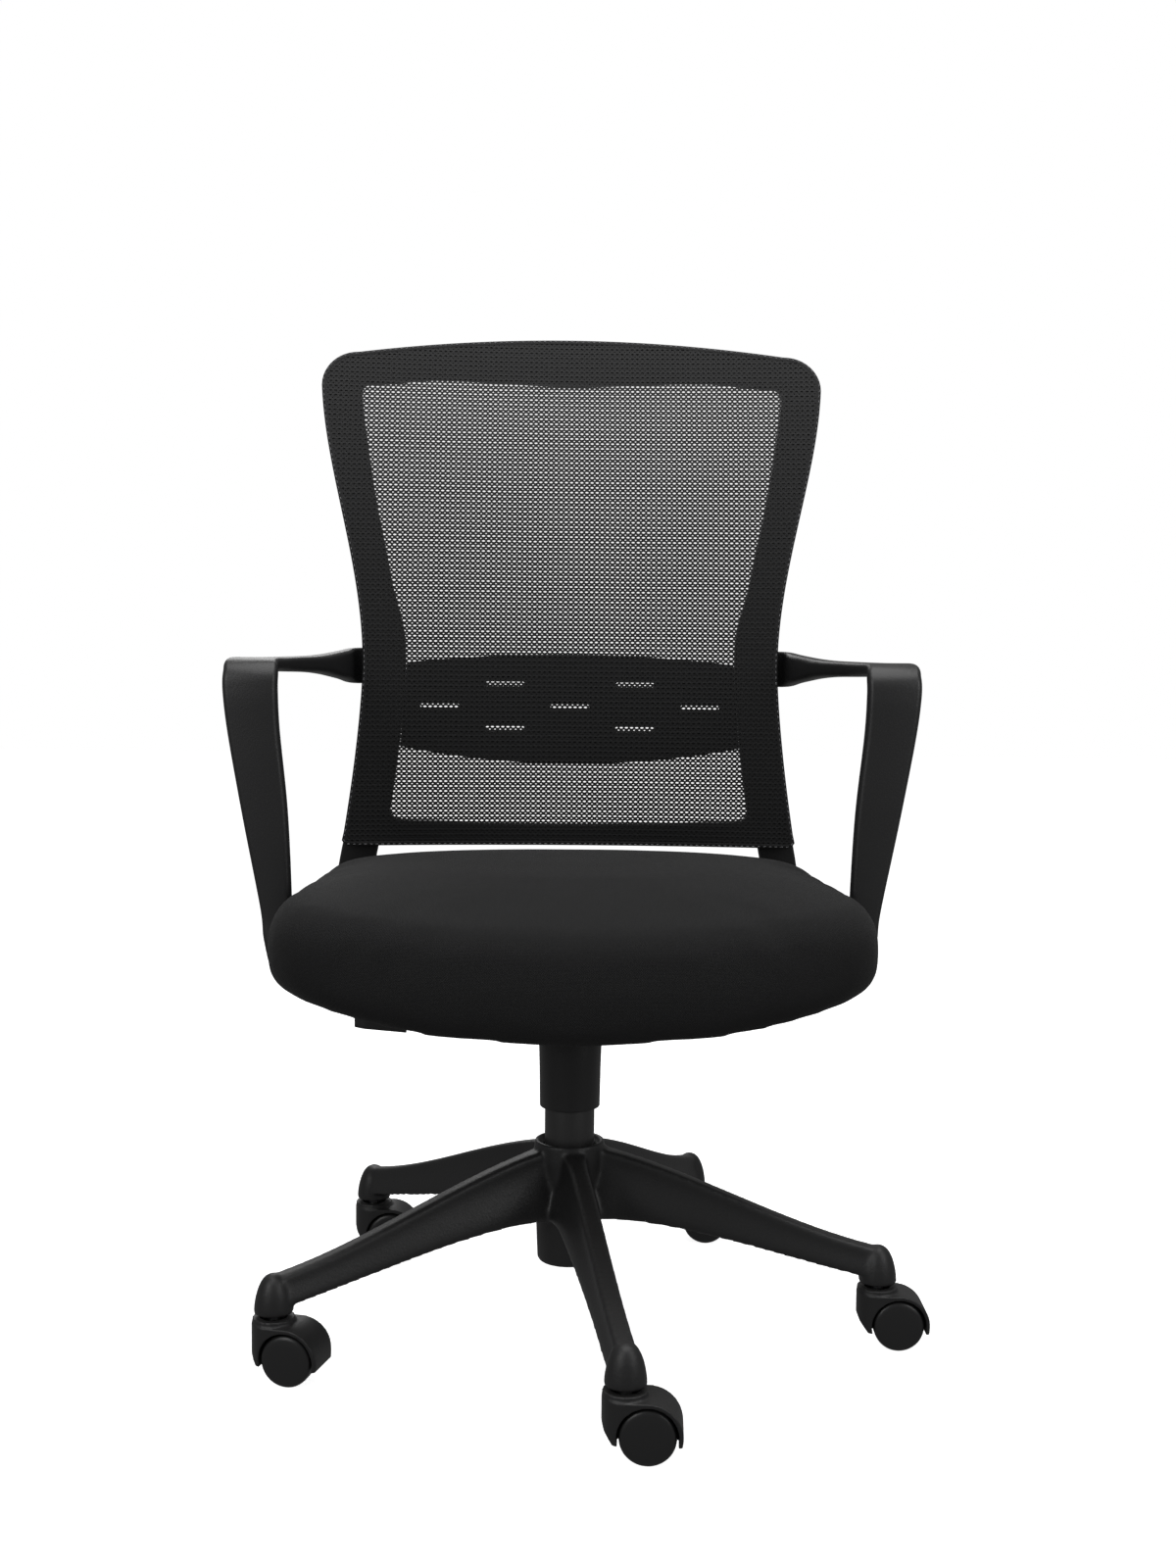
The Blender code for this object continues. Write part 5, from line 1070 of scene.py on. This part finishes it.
nodes = [f"{kind}_bolt_{n}" for kind, count in (("plate", 4), ("arm", 4), ("back", 2)) for n in range(1, count + 1)]
feet = []
for name in nodes:
    low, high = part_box(name)
    feet.append(((low.x + high.x) / 2, (low.y + high.y) / 2, low.z, high.z - low.z))
for label, chosen in (("plate", feet[:4]), ("foot", feet[4:])):
    shape = bolt_shape(chosen[0][3])
    made = repeated(f"{label}_bolts", [foot[:3] for foot in chosen], shape, bright_steel)
    dress(made, "seat_and_back", "bright_steel", *(nodes[:4] if label == "plate" else nodes[4:]))
    bpy.data.objects.remove(shape)

# %% [markdown]
# ## The net of the back
# The back is a knitted net: a row of wide six-sided holes, then a row of small ones half a step over.
# Its repeat is one wide and one small hole with the yarn between them: strands where two holes face each
# other, and knots where three meet. The edges of the wide holes stand a little proud, so the strands slope
# as yarn does. The cells are laid out flat inside the outline, welded by the tree, trimmed, and then the
# whole net is laid on the back's surface, as it is stretched on the real chair.

# %% One cell of the net
CELL_WIDE, CELL_ROW, PROUD = 0.00568, 0.00275, 0.00018
BIG, SMALL = (0.00165, 0.00093, 0.00040), (0.00090, 0.00063, 0.00020)
TOP, RIGHT_HIGH, RIGHT_LOW, BOTTOM, LEFT_LOW, LEFT_HIGH = range(6)
cell_points, cell_faces = [], []


def hole(column, row, size):
    """The six corners of a hole, given in half steps from the cell's own wide hole."""
    x, z = column * CELL_WIDE / 2, row * CELL_ROW
    wide, tall, side = size
    proud = -PROUD if size == BIG else 0.0
    start = len(cell_points)
    cell_points.extend((x + u, proud, z + v) for u, v in (
        (0, tall), (wide, side), (wide, -side), (0, -tall), (-wide, -side), (-wide, side)))
    return range(start, start + 6)


def strip(*corners):
    """A face that looks forward, whichever way round its corners are given."""
    a, b, c = (Vector(cell_points[k]) for k in corners[:3])
    cell_faces.append(corners if (b - a).cross(c - a).y < 0 else corners[::-1])


here, beside, above, above_beside = hole(0, 0, BIG), hole(2, 0, BIG), hole(0, 2, BIG), hole(2, 2, BIG)
small, small_left = hole(1, 1, SMALL), hole(-1, 1, SMALL)
strip(here[RIGHT_HIGH], here[RIGHT_LOW], beside[LEFT_LOW], beside[LEFT_HIGH])
strip(small_left[RIGHT_HIGH], small_left[RIGHT_LOW], small[LEFT_LOW], small[LEFT_HIGH])
strip(here[TOP], here[RIGHT_HIGH], small[BOTTOM], small[LEFT_LOW])
strip(here[TOP], here[LEFT_HIGH], small_left[BOTTOM], small_left[RIGHT_LOW])
strip(small[TOP], small[RIGHT_HIGH], above_beside[BOTTOM], above_beside[LEFT_LOW])
strip(small[TOP], small[LEFT_HIGH], above[BOTTOM], above[RIGHT_LOW])
strip(here[TOP], small[LEFT_LOW], small_left[RIGHT_LOW])
strip(here[RIGHT_HIGH], beside[LEFT_HIGH], small[BOTTOM])
strip(above[BOTTOM], small[LEFT_HIGH], small_left[RIGHT_HIGH])
strip(small[TOP], above[RIGHT_LOW], above_beside[LEFT_LOW])
cell_mesh = bpy.data.meshes.new("net_cell")
cell_mesh.from_pydata(cell_points, [], cell_faces)
cell = bpy.data.objects.new("net_cell", cell_mesh)
scene.collection.objects.link(cell)
print("cell of the net:", len(cell_points), "points,", len(cell_faces), "faces")

# %% Lay the net


def inside(loop, x, z):
    """Whether a point is inside an outline, by counting the edges to its right."""
    after = np.roll(loop, -1, axis=0)
    crosses = (loop[:, 1] > z) != (after[:, 1] > z)
    fall = np.where(crosses, after[:, 1] - loop[:, 1], 1.0)
    at = loop[:, 0] + (z - loop[:, 1]) / fall * (after - loop)[:, 0]
    return np.count_nonzero(crosses & (at > x)) % 2 == 1


generous, trimmed = np.array(outline(-0.002)), np.array(outline(0.0018))
HALF_COLUMNS = 52
places = []
for row in range(-1, int(BACK_HEIGHT / CELL_ROW / 2) + 2):
    for column in range(-HALF_COLUMNS, HALF_COLUMNS + 1):
        x, z = column * CELL_WIDE, BACK_BOTTOM + row * 2 * CELL_ROW
        if inside(generous, x + CELL_WIDE / 4, z + CELL_ROW):
            places.append((x, 0.0, z))
net = repeated("back_net", places, cell, net_yarn, weld=0.00005)
bpy.data.objects.remove(cell)
bm = bmesh.new()
bm.from_mesh(net.data)
over = [face for face in bm.faces if not inside(trimmed, *face.calc_center_median().xz)]
bmesh.ops.delete(bm, geom=over, context="FACES")
bm.to_mesh(net.data)
bm.free()
NET_LIFT = 0.0014
for vertex in net.data.vertices:
    x, y, z = vertex.co
    vertex.co = (x, back_depth(x, z) - NET_LIFT + y, z)
net.data.shade_smooth()
dress(net, "seat_and_back", "mesh_fabric", "back_mesh")

# %% [markdown]
# ## Hem and stitches
# The net is turned round the edge of the frame under a narrow woven tape, and the tape is sewn down with
# a small pale running stitch. The tape is a thin band lofted round the outline. The stitches are short
# round-ended dashes put along a line just inside the edge.

# %% Hem round the frame
hem_rows = []
for index, (x, z) in enumerate(outer_edge):
    along = outer_edge[(index + 1) % RAYS] - outer_edge[index - 1]
    out = np.array((along[1], -along[0])) / np.linalg.norm(along)
    section = [(-0.0046, -0.0014), (-0.0038, -0.0019), (-0.0018, -0.0017), (-0.0001, -0.0004), (0.0006, 0.0020),
               (0.0007, 0.0050), (0.0007, 0.0095), (0.0001, 0.0105), (-0.0006, 0.0095), (-0.0010, 0.0040),
               (-0.0024, 0.0002), (-0.0044, -0.0006)]
    hem_rows.append([(x + out[0] * u, back_depth(x + out[0] * u, z + out[1] * u) + v, z + out[1] * u)
                     for u, v in section])
hem = piece("net_hem", loft(hem_rows, loop=True), hem_cloth, 60.0)
dress(hem, "seat_and_back", "mesh_fabric")

# %% Stitches along the hem
line = np.array(outline(0.0016))
closed = np.vstack([line, line[:1]])
run = np.concatenate([[0.0], np.cumsum(np.linalg.norm(np.diff(closed, axis=0), axis=1))])
STITCH_PITCH = 0.0062
marks = np.arange(0, run[-1], STITCH_PITCH)
stitch_places, stitch_turns = [], []
for mark in marks:
    x, z = (np.interp(mark, run, closed[:, k]) for k in (0, 1))
    after = [np.interp((mark + 0.002) % run[-1], run, closed[:, k]) for k in (0, 1)]
    stitch_places.append((x, back_depth(x, z) - 0.0020, z))
    stitch_turns.append((0.0, -math.atan2(after[1] - z, after[0] - x), 0.0))
dash = [(0.0, -0.00145), (0.00020, -0.00135), (0.00030, -0.0009), (0.00030, 0.0009), (0.00020, 0.00135),
        (0.0, 0.00145)]
shape = piece("dash", turned(dash, 6))
shape.data.transform(Matrix.Rotation(math.pi / 2, 4, "Y"))
stitches = repeated("hem_stitches", stitch_places, shape, stitch_thread, stitch_turns, variation=0.06)
bpy.data.objects.remove(shape)
dress(stitches, "seat_and_back", "mesh_fabric")

# %% [markdown]
# ## Arms
# Each arm is one moulded loop. It starts as a flat tongue screwed behind the back frame, comes forward as
# a bar, widens to a pad, turns down as a broad post and hooks under the seat. A round-cornered section is
# carried along a smooth path through seventeen places, with its own width, thickness and direction at each.

# %% Path of the right arm
ARM_TOP, ARM_OUTER, ARM_FRONT = 0.6730, 0.3435, -0.0200
POST_THICKNESS, PAD_THICKNESS, SEAT_GAP = 0.0190, 0.0140, 0.0035
FRONT_Y = ARM_FRONT + POST_THICKNESS / 2
PAD_Z = ARM_TOP - PAD_THICKNESS / 2 + 0.0008
TONGUE_Z = ARM_TOP - 0.0095
foot_z = foot_top - 0.0050
POST_X, TOP_X = seat_half(FRONT_Y) + SEAT_GAP + 0.0150, ARM_OUTER - 0.0265


def behind_frame(x):
    return back_depth(x, TONGUE_Z) + BACK_THICKNESS + 0.0040 + 0.0022


def between(low, high, share):
    return low + (high - low) * share


tongue_in, tongue_out = BACK_HALF_WAIST - 0.030, BACK_HALF_WAIST - 0.004
slant = Vector((2 * 0.35 * BACK_HALF_WAIST, 1.0, 0.0)).normalized()
# Each row: place, direction of the width, width, thickness
arm_rows = [
    ((tongue_in, behind_frame(tongue_in), TONGUE_Z), slant, 0.0080, 0.0390),
    ((tongue_out, behind_frame(tongue_out), TONGUE_Z), slant, 0.0080, 0.0390),
    ((BACK_HALF_WAIST + 0.0135, behind_frame(tongue_out) - 0.0075, TONGUE_Z), (1, 0, 0), 0.0125, 0.0380),
    ((BACK_HALF_WAIST + 0.0240, behind_frame(tongue_out) - 0.0300, TONGUE_Z + 0.001), (1, 0, 0), 0.0180, 0.0300),
    ((between(BACK_HALF_WAIST, TOP_X, 0.50), 0.140, PAD_Z - 0.0010), (1, 0, 0), 0.0240, 0.0185),
    ((between(BACK_HALF_WAIST, TOP_X, 0.72), 0.090, PAD_Z - 0.0005), (1, 0, 0), 0.0300, 0.0155),
    ((between(BACK_HALF_WAIST, TOP_X, 0.90), 0.048, PAD_Z), (1, 0, 0), 0.0430, 0.0140),
    ((TOP_X, FRONT_Y + 0.018, PAD_Z), (1, 0, 0), 0.0510, 0.0140),
    ((TOP_X, FRONT_Y + 0.003, PAD_Z - 0.0085), (1, 0, 0), 0.0530, 0.0170),
    ((TOP_X, FRONT_Y, PAD_Z - 0.0260), (1, 0, 0), 0.0530, 0.0190),
    ((between(POST_X, TOP_X, 0.86), FRONT_Y, 0.600), (1, 0, 0), 0.0500, 0.0190),
    ((between(POST_X, TOP_X, 0.42), FRONT_Y, 0.520), (1, 0, 0), 0.0440, 0.0180),
    ((POST_X, FRONT_Y, 0.430), (1, 0, 0), 0.0310, 0.0170),
    ((POST_X - 0.001, FRONT_Y, 0.398), (1, 0, 0), 0.0260, 0.0200),
    ((POST_X - 0.006, FRONT_Y, foot_z + 0.014), (0.8, 0, -0.6), 0.0190, 0.0300),
    ((POST_X - 0.020, FRONT_Y, foot_z), (0, 0, -1), 0.0100, 0.0500),
    ((0.2300, FRONT_Y, foot_z), (0, 0, -1), 0.0100, 0.0600)]

# %% Carry the section along both arms
arm_path = through([(*place, *way, width, thick) for place, way, width, thick in arm_rows], 10)
for name, side in (("arm_left", 1), ("arm_right", -1)):
    rings = []
    for i, row in enumerate(arm_path):
        here = Vector(row[:3])
        along = Vector(arm_path[min(i + 1, len(arm_path) - 1)][:3] - arm_path[max(i - 1, 0)][:3]).normalized()
        way = Vector(row[3:6])
        across = (way - along * way.dot(along)).normalized()
        up = along.cross(across).normalized()
        a, b = row[6] / 2, row[7] / 2
        ring = [here + across * u + up * v for u, v in rounded_box(a, b, min(a, b) * 0.62, 5)]
        rings.append([(side * p.x, p.y, p.z) for p in ring])
    arm = piece(f"{name}_moulding", loft(rings), arm_skin, 60.0)
    dress(arm, "seat_and_back", "black_nylon", name)

# %% [markdown]
# ## Parts that keep their CAD shapes
# The steel of the mechanism, the gas spring, the bearing and the seat's board and pan are already the
# right shape. They only get their finishes.

# %% Finishes for the CAD parts
kept = {
    black_steel: ["mechanism_housing", "top_plate", "tilt_spring", "gas_cylinder", "retaining_clip"],
    bright_steel: ["tilt_pin", "valve_pin", "piston_rod", "bearing_washer"],
    brass: ["thrust_bearing"], frame_nylon: ["guide_bush", "seat_shell"], plywood: ["seat_board"]}
for finish, names in kept.items():
    for name in names:
        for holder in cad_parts[name].material_slots:
            holder.material = finish
    print(finish.name, "on", ", ".join(names))

# %% [markdown]
# ## Floor and finish
# A pale floor catches the small contact shadows. The last line measures the bounds of the finished chair.

# %% Floor
floor_mesh = bpy.data.meshes.new("floor")
floor_mesh.from_pydata([(-9, -9, 0), (9, -9, 0), (9, 9, 0), (-9, 9, 0)], [], [(0, 1, 2, 3)])
floor_finish = Finish("studio_floor", (0.90, 0.90, 0.90), 0.85, specular=0.0)
floor_finish.shader.inputs["Emission Color"].default_value = (1.0, 1.0, 1.0, 1.0)
floor_finish.shader.inputs["Emission Strength"].default_value = 0.88
floor_finish.feed("Roughness", floor_finish.noise(3.0) * 0.1 + 0.8)
floor_mesh.materials.append(floor_finish.material)
floor = bpy.data.objects.new("studio_floor", floor_mesh)
scene.collection.objects.link(floor)
floor.visible_diffuse = floor.visible_glossy = False
floor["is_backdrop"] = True

# %% Measure and finish
low, high = (Vector(corner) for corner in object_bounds())
